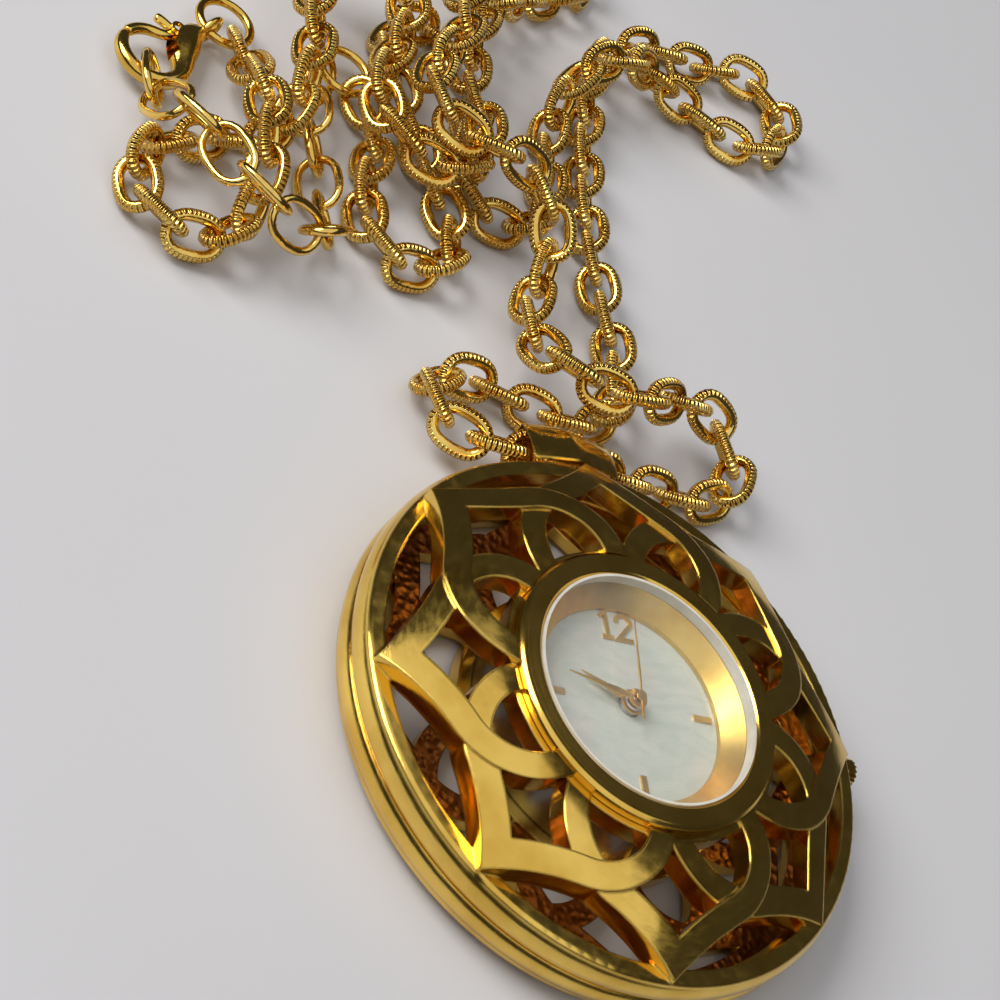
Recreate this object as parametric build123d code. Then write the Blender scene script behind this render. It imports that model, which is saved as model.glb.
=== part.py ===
from build123d import *
from math import atan2, cos, hypot, radians, sin, sqrt
import os

# Pendant watch: a round pierced case with a quartz movement, hung on a cable chain.
# Millimetres. Z is up out of the dial, 12 o'clock is +Y, 3 o'clock is +X.
# The origin is the centre of the flat case back, on the table.

# Driving sizes of the case
side_radius = 22.5           # widest radius of the two covers
side_bulge = 0.35            # bulge of the side over the seam and the rounded rims
side_edge_radius = side_radius - side_bulge
tip_inset = 0.5              # the petal tips end this far inside the widest radius
tip_radius = side_radius - tip_inset
tip_height = 6.6             # height of the petal tips over the table
wall = 1.5                   # thickness of the covers' side walls
seam_height = 3.6            # height of the seam between the covers, and of the stem
seam_groove = 0.12           # width of the groove that shows at the seam
slide_gap = 0.05             # gap between pieces that slide into each other
turn_gap = 0.06              # running gap round an arbor
fit_gap = 0.01               # gap between pieces pressed together
overrun = 0.5                # how far a cutting shape runs past what it cuts

# Petals of the front and back covers
petal_count = 8
band_width = 2.1             # width of the petal bands
band_thickness = 1.9         # depth of the front bands
level_step = 0.26            # each petal lies this much under the one before
level_shares = (1, 2, 3, 4, 3, 2, 1, 0)     # steps down for each petal, from 12 o'clock clockwise
tip_dip = 0.25               # how far the tip's flank bows inwards
shoulder_shares = (0.791, 0.271)            # end of the straight flank, along and across the petal
belly_centre_shares = (0.529, 0.120)        # centre of the petal's round belly
belly_end_angle = 150.0      # where the belly's arc stops, under the bezel
belly_top_angle = 90.0       # a point half way round that arc
dome_mid_share = 0.727       # radius where the dome's height is given, of the tips' radius
dome_mid_rise = 2.28         # rise of the dome over the tips there
dome_top_rise = 2.57         # rise of the dome at the collar

# Rim and floor of the covers
rim_width = 1.7              # width of the flat ring round the petals
rim_drop = 0.5               # the ring lies this much under the mean petal tip
rim_depth = 1.7              # depth of that ring
rim_round = 0.35             # rounding of the rim's outer edge
back_floor_height = 0.5      # underside of the back cover over the table
back_floor_thickness = 1.2
back_corner = 1.2            # rounding of the back cover's lower corner
lip_thickness = 0.6          # thickness of the back cover's lip inside the front cover
lip_height = 0.5             # height of the lip over the seam
collar_width = 1.15          # width of the collars that hold the centre case
front_collar_depth = 1.65
back_collar_height = 1.7

# Centre case, bezel, crystal and dial
tube_radius = 11.0           # outer radius of the centre case
tube_wall = 0.6
tube_foot = 0.65             # height of the centre case's lower end
tube_top = 8.9               # height of the bezel's seat
bezel_radius = 11.6
bezel_bore = 9.7
bezel_height = 0.95
bezel_chamfer = 0.25
crystal_radius = 9.45
crystal_edge_height = 1.0
crystal_dome = 0.15
crystal_mid_share = 0.5      # radius where the dome's arc is given its third point
gasket_gap = 0.02
rehaut_bore = 8.14           # bore of the sloped ring at the dial
rehaut_top_radius = 9.5
rehaut_flat = 0.35           # height of the ring's straight lower part
dial_radius = 9.6
dial_thickness = 0.4
dial_top = 6.9
dial_hole = 1.0
marker_height = 0.18
numeral_size = 2.3           # height of the 12
numeral_radius = 6.85        # distance of the 12 from the centre
numeral_stroke = 0.34
one_shares = (-0.40, 0.24, 0.22)    # the 1's stem, flag and foot, of the numeral's height
two_shares = (0.02, 0.62, 0.16)     # the 2's left, right and the centre of its arc
bar_inner_radius = 6.0
bar_length = 1.7
bar_width = 0.5
lid_thickness = 0.6
lid_plug_height = 0.4
lid_plug_radius = 9.9
lid_slot_width = 1.2
lid_slot_length = 2.2
lid_slot_depth = 0.25
lid_gasket_height = 0.35

# Hands, set at thirteen minutes to ten
hour_hand_angle = 293.5      # clockwise from 12 o'clock
minute_hand_angle = 282.0
second_hand_angle = 5.5
hour_hand_length = 4.8
minute_hand_length = 6.15
second_hand_length = 7.0
second_hand_tail = 2.0
hour_hand_width = 0.62
minute_hand_width = 0.5
second_hand_width = 0.16
hand_waist_share = 0.3       # where the widest point of a hand lies along it
hour_hand_height = 7.35
minute_hand_height = 7.95
second_hand_height = 8.45
hand_thickness = 0.15
hour_boss_radius = 1.05
minute_boss_radius = 0.8
second_boss_radius = 0.42

# Arbors and pipes at the centre
second_arbor_radius = 0.18
cannon_bore = 0.25
cannon_radius = 0.46
pipe_bore = 0.55
pipe_radius = 0.78
hub_radius = 0.9
arbor_radius = 0.18          # arbors of the other wheels
post_radius = 0.3            # post of the minute wheel

# Movement
plate_radius = 8.5
plate_bottom = 4.2
plate_thickness = 0.8
bridge_radius = 8.3
bridge_bottom = 1.3
bridge_thickness = 0.4
holder_bore = 8.6
holder_bottom = 1.05
pillar_radius = 0.75
pillar_distance = 7.3
pillar_angles = (30.0, 88.0, 195.0)
screw_head_radius = 0.6
screw_head_height = 0.15
screw_shank_radius = 0.35
screw_slot_width = 0.14
screw_slot_depth = 0.09

# Gear train: module, teeth and heights
wheel_thickness = 0.2
second_wheel_module = 0.115
second_wheel_teeth = 40
second_wheel_height = 2.3
third_wheel_module = 0.085
third_wheel_teeth = 64
third_wheel_height = 2.9
third_wheel_angle = 60.0
centre_wheel_module = 0.09
centre_wheel_teeth = 60
centre_wheel_height = 3.65
step_wheel_module = 0.09
step_wheel_teeth = 48
step_wheel_height = 1.9
step_wheel_angle = 200.0
rotor_angle = 215.0
pinion_teeth = 8
pinion_height = 0.4
cannon_teeth = 12
motion_module = 0.125
motion_teeth = 36
motion_height = 5.15
motion_angle = 110.0
motion_pinion_teeth = 10
hour_module = 0.12
hour_teeth = 40
hour_wheel_height = 5.7
cannon_pinion_height = 5.1
cannon_pinion_depth = 0.5
tooth_root_share = 0.42      # width of a tooth at its root, of the pitch
tooth_tip_share = 0.16       # width of a tooth at its tip
tooth_reach_share = 0.8      # how far a tooth stands over the pitch circle, of the module
tooth_depth_share = 1.05     # how far it goes under it
window_share = 0.36          # radius of a wheel's windows, of its web's width
window_count = 4
pivot_reach = 0.3            # how far an arbor goes into the plate and the bridge
mesh_turn_half_share = 0.5   # a gap is half a pitch from a tooth

# Motor, battery and circuit
rotor_radius = 0.9
rotor_height = 2.3
rotor_depth = 1.0
stator_bottom = 2.65
stator_thickness = 0.35
stator_hole = 1.05
stator_ring_radius = 1.6
core_y = -5.0
core_left = -5.5
core_right = 0.75
core_width = 0.7
leg_width = 0.6
coil_radius = 0.85
coil_inset = 0.35            # gap between the coil's ends and the legs
battery_radius = 2.9
battery_height = 1.6
battery_bottom = 1.4
battery_distance = 5.6
battery_angle = -43.0
battery_rim = 0.12
battery_step = 0.4
clamp_width = 1.4
clamp_thickness = 0.12
board_bottom = 2.2
board_thickness = 0.3
board_inner = 4.2
board_outer = 8.2
board_start = 100.0
board_end = 165.0
chip_size = 1.6
chip_height = 0.4
chip_distance = 6.2
chip_angle = 108.0
quartz_radius = 0.72
quartz_length = 4.6
quartz_distance = 6.2
quartz_angle = 142.0

# Crown and stem at 3 o'clock
stem_radius = 0.45
stem_start = 4.6
stem_groove_radius = 0.28
stem_groove_at = 5.75
stem_groove_length = 0.5
yoke_thickness = 0.3
yoke_reach = 1.9
yoke_half_width = 0.5
crown_tube_radius = 0.85
crown_tube_bore = 0.55
crown_radius = 1.2
crown_length = 1.45
crown_gap = 0.2              # gap between the crown and the case when pushed in
crown_flutes = 18
crown_flute_radius = 0.12

# Bail, a gabled loop on the 12 o'clock side
bail_reach = 4.9             # how far it stands out of the rim
bail_half_height = 2.95
bail_centre_height = 3.4
bail_wall = 0.6
bail_half_width = 4.1
bail_gable = 0.55            # fall of the roof from the ridge to the sides
bail_lobe_centre = 2.0       # centre of each lobe from the ridge
bail_lobe_radius = 2.1
bail_lobe_setback = 2.2      # lobe centres behind the outermost point

# Knurled chain links and smooth extender links
link_wire = 1.2
link_width = 4.2
link_length = 5.9
link_play = 0.2              # free play between two links on a taut chain
extender_wire = 0.85
extender_width = 4.3
extender_length = 6.1
extender_play = 0.5
link_roll = 45.0             # links lie rolled by this, to one side and the other in turn
walk_steps = 24              # straight steps that stand for each span of a route
halvings = 20                # rounds of fitting the links' play to the route's length

# Clasp, in its own frame: the hook's centre is the origin and the eye lies along +X
clasp_x = -33.3
clasp_y = 56.9
clasp_height = 1.7           # height of its middle plane over the table
clasp_angle = 42.0
hook_radius = 3.5
hook_bore = 2.15
hook_thickness = 1.1
hook_start_angle = -5.0      # the hook's ring is cut open from here
hook_tip_angle = 105.0       # to here, and the lever closes it
arm_start = 1.5
arm_end = 6.4
arm_start_half = 1.7
arm_end_half = 1.1
arm_thickness = 2.3
eye_x = 7.6
eye_radius = 1.5
eye_bore = 0.95
eye_thickness = 1.2
slot_start = 1.0
slot_end = 5.6
slot_low = -0.9
slot_bottom = -0.45
slot_top = 0.85
lever_half_thickness = 0.38
lever_clearance = 0.1
lever_start_angle = 20.0
lever_end_angle = 101.0
lever_tail_radius = 0.8
lever_neck_half = 0.5
thumb_x = 3.6
thumb_y = 2.7
thumb_radius = 0.6
pivot_x = 4.0
pivot_y = 1.0
rivet_radius = 0.35
rivet_gap = 0.03
rivet_head_radius = 0.6
rivet_head_height = 0.12
spring_radius = 0.6
spring_bore = 0.4
spring_height = 0.35
spring_leg_width = 0.2
spring_leg_length = 1.5

# Jump rings at both ends of the knurled chain
ring_radius = 2.4            # middle radius
ring_wire = 0.78
ring_to_eye = 2.15           # from the first ring's centre to the clasp's eye
ring_to_link = 2.6           # from a ring's centre to the middle of a knurled link's end
ring_to_extender = 2.85      # the same for the extender
first_link_angle = -64.5     # direction of the chain as it leaves the first ring
last_ring_angle = 118.0      # direction of the last ring from the chain's end
extender_angle = -148.0      # direction of the extender as it leaves the last ring

# Route of the knurled chain, as control points of a quadratic B-spline. The chain lies in three
# layers: it leaves the clasp, goes round the pile, to the bail, through it and back.
low_z = 1.75                 # height of the middle of a link that lies on the table
mid_z = 5.6                  # one link higher
top_z = 9.45                 # two links higher
side_pile_route = (
    (-25.0, 57.6, 3.0), (-25.6, 53.4, 5.9), (-25.4, 49.0, 6.2), (-25.3, 44.0, 3.6),
    (-27.6, 39.2, 2.1), (-32.0, 38.0, 2.0), (-35.6, 40.6, 1.9), (-35.8, 45.0, 1.9),
    (-32.6, 48.0, low_z), (-28.6, 49.6, low_z), (-24.4, 50.4, low_z), (-21.7, 53.0, 3.4),
    (-20.4, 57.6, 5.8))
pile_middle_route = (
    (-19.6, 62.4, mid_z), (-19.2, 66.8, mid_z), (-17.8, 71.2, mid_z), (-13.8, 73.8, mid_z),
    (-10.2, 71.4, mid_z), (-9.6, 66.8, mid_z), (-12.0, 62.0, mid_z), (-14.4, 57.2, mid_z),
    (-12.8, 52.4, mid_z), (-8.4, 50.2, mid_z), (-4.4, 52.4, mid_z), (-3.2, 57.0, mid_z),
    (-4.2, 61.6, mid_z), (-3.6, 66.2, mid_z), (-1.6, 70.6, mid_z))
far_loop_route = (
    (1.5, 74.6, 5.2), (5.0, 77.8, 2.9), (8.8, 80.6, low_z), (13.2, 82.6, low_z),
    (15.8, 86.4, low_z), (13.8, 90.8, low_z), (8.8, 91.8, low_z), (5.0, 88.5, low_z),
    (2.6, 84.8, low_z), (0.4, 81.0, 2.0), (-2.0, 77.6, 3.8), (-4.4, 74.2, 6.4),
    (-5.4, 70.0, 8.6))
pile_top_route = (
    (-6.0, 65.6, top_z), (-8.0, 61.4, top_z), (-11.2, 57.6, top_z), (-11.0, 53.0, top_z),
    (-6.8, 50.6, top_z), (-2.5, 50.7, 9.3), (1.0, 49.2, 7.0))
left_strand_route = (
    (2.2, 45.4, 4.8), (0.6, 41.4, 3.0), (-0.5, 37.6, 3.2), (-0.2, 34.0, 4.9),
    (2.6, 31.3, 6.1), (6.2, 30.3, 6.3), (10.0, 31.2, 6.1), (13.6, 33.0, 5.2),
    (17.6, 32.9, 3.8), (20.2, 29.6, 2.4), (18.7, 25.9, low_z))
bail_run_route = (
    (14.6, 24.9, low_z), (10.2, 25.0, 2.2), (5.2, 24.35, 3.4), (0.0, 24.3, 3.4),
    (-4.8, 24.35, 3.4), (-8.9, 24.7, 3.1), (-11.6, 27.7, 2.5), (-9.6, 31.4, 2.0),
    (-4.9, 31.8, low_z), (0.6, 30.0, low_z), (4.2, 29.8, low_z), (7.4, 31.2, low_z))
right_strand_route = (
    (9.0, 34.6, low_z), (9.8, 39.0, low_z), (9.5, 44.0, low_z), (9.2, 50.0, low_z),
    (9.6, 56.0, low_z), (10.6, 62.5, low_z), (12.0, 68.5, low_z), (13.8, 74.0, low_z))
right_loop_route = (
    (17.6, 78.0, low_z), (22.6, 79.8, low_z), (27.6, 79.2, low_z), (32.6, 80.6, low_z),
    (37.0, 77.6, low_z), (36.6, 72.2, low_z), (32.0, 69.6, low_z), (27.4, 71.4, low_z),
    (23.4, 73.8, low_z), (19.4, 73.8, 3.6), (15.4, 72.2, 5.6), (11.0, 70.2, 5.6),
    (8.0, 67.0, 3.6), (6.6, 62.6, low_z), (5.8, 57.8, low_z))
pile_low_route = (
    (4.8, 52.8, low_z), (1.2, 49.6, low_z), (-3.2, 50.8, low_z), (-4.2, 55.2, low_z),
    (-2.0, 60.0, low_z), (-0.4, 65.6, low_z), (-2.6, 70.4, low_z), (-7.4, 71.2, low_z),
    (-10.2, 67.2, low_z), (-9.2, 62.4, low_z), (-7.8, 57.6, low_z), (-7.4, 52.6, low_z),
    (-5.4, 47.8, low_z), (-6.8, 43.2, low_z), (-11.4, 41.4, low_z), (-14.6, 44.4, low_z),
    (-14.4, 48.8, low_z), (-12.8, 53.0, low_z), (-12.2, 57.0, low_z), (-13.3, 60.1, low_z))

# Route of the extender, from the last ring to the clasp's hook
extender_route = (
    (-18.8, 58.6, low_z), (-18.7, 54.0, low_z), (-18.8, 47.0, low_z), (-18.7, 43.8, 1.9),
    (-20.0, 40.8, 3.2), (-23.0, 39.2, 5.2), (-26.6, 40.3, 6.3), (-29.2, 42.8, 6.3),
    (-30.6, 45.8, 6.1), (-32.2, 48.0, 6.0), (-33.6, 50.6, 3.5), (-33.8, 52.9, 1.6),
    (-33.5, 54.85, 1.6))


def cyl(radius, bottom, top, x=0.0, y=0.0):
    """A standing cylinder between two heights."""
    align = (Align.CENTER, Align.CENTER, Align.MIN)
    return Pos(x, y, bottom) * Cylinder(radius, top - bottom, align=align)


def ring(outer, inner, bottom, top, x=0.0, y=0.0):
    """A flat standing ring."""
    return cyl(outer, bottom, top, x, y) - cyl(inner, bottom - overrun, top + overrun, x, y)


def block(x0, x1, y0, y1, z0, z1):
    """A box between two corners."""
    align = (Align.MIN, Align.MIN, Align.MIN)
    return Pos(x0, y0, z0) * Box(x1 - x0, y1 - y0, z1 - z0, align=align)


def raised(face, bottom, top):
    """A face on the table's plane, made a solid between two heights."""
    return Pos(0, 0, bottom) * extrude(face, amount=top - bottom, dir=(0, 0, 1))


def turned(lines):
    """A solid of revolution about Z from lines drawn with radius as X and height as Z."""
    return revolve(Plane.XZ * make_face(lines), axis=Axis.Z)


def polar(distance, angle):
    """A point at a distance and an angle from the centre."""
    return distance * cos(radians(angle)), distance * sin(radians(angle))


def clock(distance, angle):
    """A point at a clock angle, clockwise from 12 o'clock."""
    return polar(distance, 90.0 - angle)


def rod_x(radius, x0, x1, y=0.0, z=seam_height):
    """A cylinder lying along X."""
    align = (Align.CENTER, Align.CENTER, Align.MIN)
    return Pos(x0, y, z) * Rot(0, 90, 0) * Cylinder(radius, x1 - x0, align=align)


# Covers

def petal_face():
    """Outline of one petal lying along +X, as a face."""
    tip = (tip_radius, 0.0)
    belly_x, belly_y = (tip_radius * share for share in belly_centre_shares)
    shoulder_x, shoulder_y = (tip_radius * share for share in shoulder_shares)
    belly_radius = hypot(shoulder_x - belly_x, shoulder_y - belly_y)
    top_x, top_y = polar(belly_radius, belly_top_angle)
    end_x, end_y = polar(belly_radius, belly_end_angle)
    flank = hypot(tip_radius - shoulder_x, shoulder_y)
    mid_x = (tip_radius + shoulder_x) / 2 - tip_dip * shoulder_y / flank
    mid_y = shoulder_y / 2 - tip_dip * (tip_radius - shoulder_x) / flank
    lines = []
    for side in (1, -1):
        shoulder = (shoulder_x, side * shoulder_y)
        top = (belly_x + top_x, side * (belly_y + top_y))
        end = (belly_x + end_x, side * (belly_y + end_y))
        lines.append(ThreePointArc(tip, (mid_x, side * mid_y), shoulder))
        lines.append(ThreePointArc(shoulder, top, end))
    lines.append(Line((belly_x + end_x, belly_y + end_y), (belly_x + end_x, -belly_y - end_y)))
    return make_face(lines)


def petal_band(bottom, top):
    """The band round one petal, standing between two heights."""
    outline = petal_face()
    hole = offset(outline, amount=-band_width, kind=Kind.INTERSECTION)
    return raised(outline - hole, bottom, top)


def dome_shell():
    """The domed layer that the front petals are cut from, at the mean level."""
    def surface(drop):
        edge = (tip_radius, tip_height - drop)
        middle = (tip_radius * dome_mid_share, tip_height + dome_mid_rise - drop)
        inner = (tube_radius, tip_height + dome_top_rise - drop)
        return edge, middle, inner
    high = surface(0.0)
    low = surface(band_thickness)
    rim_high = (side_radius, tip_height)
    rim_low = (side_radius, tip_height - band_thickness)
    lines = [ThreePointArc(*high), ThreePointArc(*low), Line(high[2], low[2])]
    lines += [Line(high[0], rim_high), Line(rim_high, rim_low), Line(rim_low, low[0])]
    return turned(lines)


def petals(layer, bottom, top, step):
    """Bands of all petals cut from a layer, each petal a step under the last."""
    mean = sum(level_shares) / len(level_shares)
    band = petal_band(bottom, top)
    solids = []
    for number in range(petal_count):
        level = step * (mean - level_shares[number])
        turn = Rot(0, 0, 90.0 - number * 360.0 / petal_count)
        solids.append(turn * (band & (Pos(0, 0, level) * layer)))
    whole = solids[0]
    for solid in solids[1:]:
        whole += solid
    return whole


def rounded_side(edge_x, edge_y, radius, upward):
    """Lines of a rounded outer corner, from the side wall to the flat ring."""
    sag = radius * (1 - cos(radians(45.0)))
    inner = (edge_x - radius, edge_y)
    outer = (edge_x, edge_y - upward * radius)
    return ThreePointArc(outer, (edge_x - sag, edge_y - upward * sag), inner), outer, inner


def crown_passage():
    """Round hole for the crown tube through the covers and the centre case."""
    return rod_x(crown_tube_radius + slide_gap, tube_radius - tube_wall - overrun, side_radius + overrun)


def front_cover():
    rim_top = tip_height - rim_drop
    seam = seam_height + seam_groove / 2
    corner, outer, inner = rounded_side(side_edge_radius, rim_top, rim_round, 1)
    belly = (side_radius, (seam + outer[1]) / 2)
    ring_inner = side_radius - rim_width
    wall_inner = side_radius - wall
    points = [inner, (ring_inner, rim_top), (ring_inner, rim_top - rim_depth)]
    points += [(wall_inner, rim_top - rim_depth), (wall_inner, seam), (side_edge_radius, seam)]
    side = turned([ThreePointArc(points[-1], belly, outer), corner, Polyline(*points)])
    collar_top = tube_top - slide_gap
    collar_bore = tube_radius + slide_gap
    collar = ring(tube_radius + collar_width, collar_bore, collar_top - front_collar_depth, collar_top)
    dome_top = tip_height + dome_top_rise
    lattice = petals(dome_shell(), seam_height, dome_top + band_thickness, level_step)
    lattice -= cyl(collar_bore, seam_height - overrun, dome_top + band_thickness)
    lattice -= cyl(bezel_radius + slide_gap, collar_top, dome_top + band_thickness)
    lattice &= cyl(tip_radius, seam_height, dome_top + band_thickness)
    return side + collar + lattice - crown_passage()


def back_cover():
    seam = seam_height - seam_groove / 2
    floor_top = back_floor_height + back_floor_thickness
    corner, outer, inner = rounded_side(side_edge_radius, back_floor_height, back_corner, -1)
    belly = (side_radius, (seam + outer[1]) / 2)
    lip_outer = side_radius - wall - slide_gap
    lip_inner = lip_outer - lip_thickness
    ring_inner = side_radius - wall - rim_width
    points = [inner, (ring_inner, back_floor_height), (ring_inner, floor_top), (lip_inner, floor_top)]
    points += [(lip_inner, seam_height + lip_height), (lip_outer, seam_height + lip_height)]
    points += [(lip_outer, seam), (side_edge_radius, seam)]
    side = turned([ThreePointArc(points[-1], belly, outer), corner, Polyline(*points)])
    collar_top = back_floor_height + back_collar_height
    collar = ring(tube_radius + collar_width, tube_radius + slide_gap, back_floor_height, collar_top)
    layer = cyl(lip_inner, back_floor_height, floor_top)
    lattice = petals(layer, back_floor_height, floor_top, 0.0)
    lattice -= cyl(tube_radius + slide_gap, back_floor_height - overrun, floor_top + overrun)
    return side + collar + lattice - crown_passage()


# Centre case, crystal and dial

def centre_case():
    tube = ring(tube_radius, tube_radius - tube_wall, tube_foot, tube_top - slide_gap)
    return tube - crown_passage()


def case_back():
    lid = cyl(tube_radius, 0.0, lid_thickness)
    lid += cyl(lid_plug_radius, lid_thickness, lid_thickness + lid_plug_height)
    slot = block(-lid_slot_width / 2, lid_slot_width / 2, 0, lid_slot_length, -overrun, lid_slot_depth)
    return lid - Pos(0, tube_radius - lid_slot_length, 0) * slot


def case_back_gasket():
    inner = lid_plug_radius + gasket_gap
    outer = tube_radius - tube_wall - gasket_gap
    bottom = lid_thickness + gasket_gap
    return ring(outer, inner, bottom, bottom + lid_gasket_height)


def bezel():
    body = ring(bezel_radius, bezel_bore, tube_top, tube_top + bezel_height)
    top_edges = body.edges().filter_by(GeomType.CIRCLE).group_by(Axis.Z)[-1]
    return chamfer(top_edges, bezel_chamfer)


def crystal():
    edge_top = tube_top + crystal_edge_height
    crown_top = edge_top + crystal_dome
    sag = crystal_dome * crystal_mid_share ** 2
    middle = (crystal_radius * crystal_mid_share, crown_top - sag)
    dome = ThreePointArc((0, crown_top), middle, (crystal_radius, edge_top))
    side = Polyline((crystal_radius, edge_top), (crystal_radius, tube_top), (0, tube_top), (0, crown_top))
    return turned([dome, side])


def crystal_gasket():
    outer = bezel_bore - gasket_gap
    inner = crystal_radius + gasket_gap
    return ring(outer, inner, tube_top + gasket_gap, tube_top + bezel_height - gasket_gap)


def dial_ring():
    bottom = dial_top + gasket_gap
    top = tube_top - slide_gap
    outer = tube_radius - tube_wall - slide_gap
    points = [(rehaut_bore, bottom), (outer, bottom), (outer, top), (rehaut_top_radius, top)]
    points += [(rehaut_bore, bottom + rehaut_flat), (rehaut_bore, bottom)]
    return turned([Polyline(*points)])


def dial():
    plate = cyl(dial_radius, dial_top - dial_thickness, dial_top)
    return plate - cyl(dial_hole, dial_top - dial_thickness - overrun, dial_top + overrun)


def dial_numeral():
    """A 12 drawn in strokes, as two separate digits."""
    x, y = clock(numeral_radius, 0.0)
    half = numeral_size / 2
    one_x, flag, foot = (numeral_size * share for share in one_shares)
    left, right, arc_centre = (numeral_size * share for share in two_shares)
    one = [Line((one_x, -half), (one_x, half)), Line((one_x, half), (one_x - flag, half - flag)),
           Line((one_x - foot, -half), (one_x + foot, -half))]
    radius = (right - left) / 2
    middle = (left + right) / 2
    hook = ThreePointArc((left, arc_centre), (middle, arc_centre + radius), (right, arc_centre))
    two = [hook, Line((right, arc_centre), (left, -half)), Line((left, -half), (right, -half))]
    digits = []
    for strokes in (one, two):
        face = trace(strokes, line_width=numeral_stroke)
        digits.append(Pos(x, y, 0) * raised(face, dial_top, dial_top + marker_height))
    return digits


def dial_bars():
    bar = block(bar_inner_radius, bar_inner_radius + bar_length, -bar_width / 2, bar_width / 2,
                dial_top, dial_top + marker_height)
    return [Rot(0, 0, 90.0 - angle) * bar for angle in (90.0, 180.0, 270.0)]


# Hands

def leaf_hand(length, width, boss, bore, height, angle):
    """A flat pointed hand with a round boss, pointing at a clock angle."""
    waist = hand_waist_share * length
    blade = make_face([Polyline((length, 0), (waist, width / 2), (0, width / 4), (0, -width / 4),
                                (waist, -width / 2), (length, 0))])
    shape = blade + Circle(boss)
    body = raised(shape, height, height + hand_thickness)
    if bore:
        body -= cyl(bore, height - overrun, height + hand_thickness + overrun)
    return Rot(0, 0, 90.0 - angle) * body


def hour_hand():
    return leaf_hand(hour_hand_length, hour_hand_width, hour_boss_radius, pipe_radius + fit_gap,
                     hour_hand_height, hour_hand_angle)


def minute_hand():
    return leaf_hand(minute_hand_length, minute_hand_width, minute_boss_radius, cannon_radius + fit_gap,
                     minute_hand_height, minute_hand_angle)


def second_hand():
    half = second_hand_width / 2
    tail = block(-second_hand_tail, 0, -half, half, second_hand_height, second_hand_height + hand_thickness)
    tail = Rot(0, 0, 90.0 - second_hand_angle) * tail
    blade = leaf_hand(second_hand_length, second_hand_width, second_boss_radius, 0.0,
                      second_hand_height, second_hand_angle)
    return blade + tail


# Gears

def gear(teeth, module, bottom, thickness, turn=0.0):
    """A flat toothed disc with slender straight-flanked teeth, a tooth on its turn angle."""
    pitch_radius = module * teeth / 2
    root = pitch_radius - module * tooth_depth_share
    tip = pitch_radius + module * tooth_reach_share
    pitch = 360.0 / teeth
    points = []
    for number in range(teeth):
        middle = turn + number * pitch
        points.append(polar(root, middle - pitch * tooth_root_share / 2))
        points.append(polar(tip, middle - pitch * tooth_tip_share / 2))
        points.append(polar(tip, middle + pitch * tooth_tip_share / 2))
        points.append(polar(root, middle + pitch * tooth_root_share / 2))
    return raised(make_face([Polyline(*points, close=True)]), bottom, bottom + thickness)


def mesh_turn(teeth, angle, driver_teeth, driver_turn):
    """Turn of a wheel at an angle from its driver so that a gap faces the driver's tooth."""
    driver_phase = (angle - driver_turn) / (360.0 / driver_teeth)
    offset_share = driver_phase - round(driver_phase)
    return angle + 180.0 + (360.0 / teeth) * (mesh_turn_half_share + offset_share)


def wheel(teeth, module, bottom, thickness, hub, turn=0.0):
    """A gear with round windows in its web."""
    body = gear(teeth, module, bottom, thickness, turn)
    web = module * (teeth / 2 - tooth_depth_share)
    middle = (web + hub) / 2
    size = (web - hub) * window_share
    for number in range(window_count):
        x, y = polar(middle, turn + number * 360.0 / window_count)
        body -= cyl(size, bottom - overrun, bottom + thickness + overrun, x, y)
    return body


# Gear train. The pinion on each arbor has the module of the wheel that it meshes with.

def centres(module, teeth_a, teeth_b):
    """Distance between two meshing gears' arbors."""
    return module * (teeth_a + teeth_b) / 2


def third_place():
    return polar(centres(third_wheel_module, third_wheel_teeth, pinion_teeth), third_wheel_angle)


def step_place():
    return polar(centres(second_wheel_module, second_wheel_teeth, pinion_teeth), step_wheel_angle)


def rotor_place():
    x, y = polar(centres(step_wheel_module, step_wheel_teeth, pinion_teeth), rotor_angle)
    step_x, step_y = step_place()
    return step_x + x, step_y + y


def motion_place():
    return polar(centres(motion_module, cannon_teeth, motion_teeth), motion_angle)


def arbor_bottom():
    return bridge_bottom + bridge_thickness - pivot_reach


def arbor_top():
    return plate_bottom + pivot_reach


def seconds_wheel():
    turn_low = second_wheel_height + wheel_thickness + slide_gap
    body = wheel(second_wheel_teeth, second_wheel_module, second_wheel_height, wheel_thickness, hub_radius)
    body += gear(pinion_teeth, third_wheel_module, turn_low, third_wheel_height + pinion_height - turn_low)
    body += cyl(second_arbor_radius, second_wheel_height, turn_low)
    return body + cyl(second_arbor_radius, arbor_bottom(), second_hand_height)


def third_wheel():
    x, y = third_place()
    turn = mesh_turn(third_wheel_teeth, third_wheel_angle, pinion_teeth, 0.0)
    body = wheel(third_wheel_teeth, third_wheel_module, third_wheel_height, wheel_thickness,
                 hub_radius / 2, turn)
    pinion_bottom = centre_wheel_height - pinion_height / 2
    body += gear(pinion_teeth, centre_wheel_module, pinion_bottom, pinion_height + wheel_thickness / 2)
    body += cyl(arbor_radius, arbor_bottom(), arbor_top())
    return Pos(x, y, 0) * body


def centre_wheel():
    turn = mesh_turn(centre_wheel_teeth, third_wheel_angle + 180.0, pinion_teeth, 0.0)
    body = wheel(centre_wheel_teeth, centre_wheel_module, centre_wheel_height, wheel_thickness,
                 hub_radius, turn)
    hub_bottom = centre_wheel_height - slide_gap
    hub_top = plate_bottom - slide_gap
    body += cyl(hub_radius, hub_bottom, hub_top)
    return body - cyl(cannon_radius + turn_gap / 2, hub_bottom - overrun, hub_top + overrun)


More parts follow.
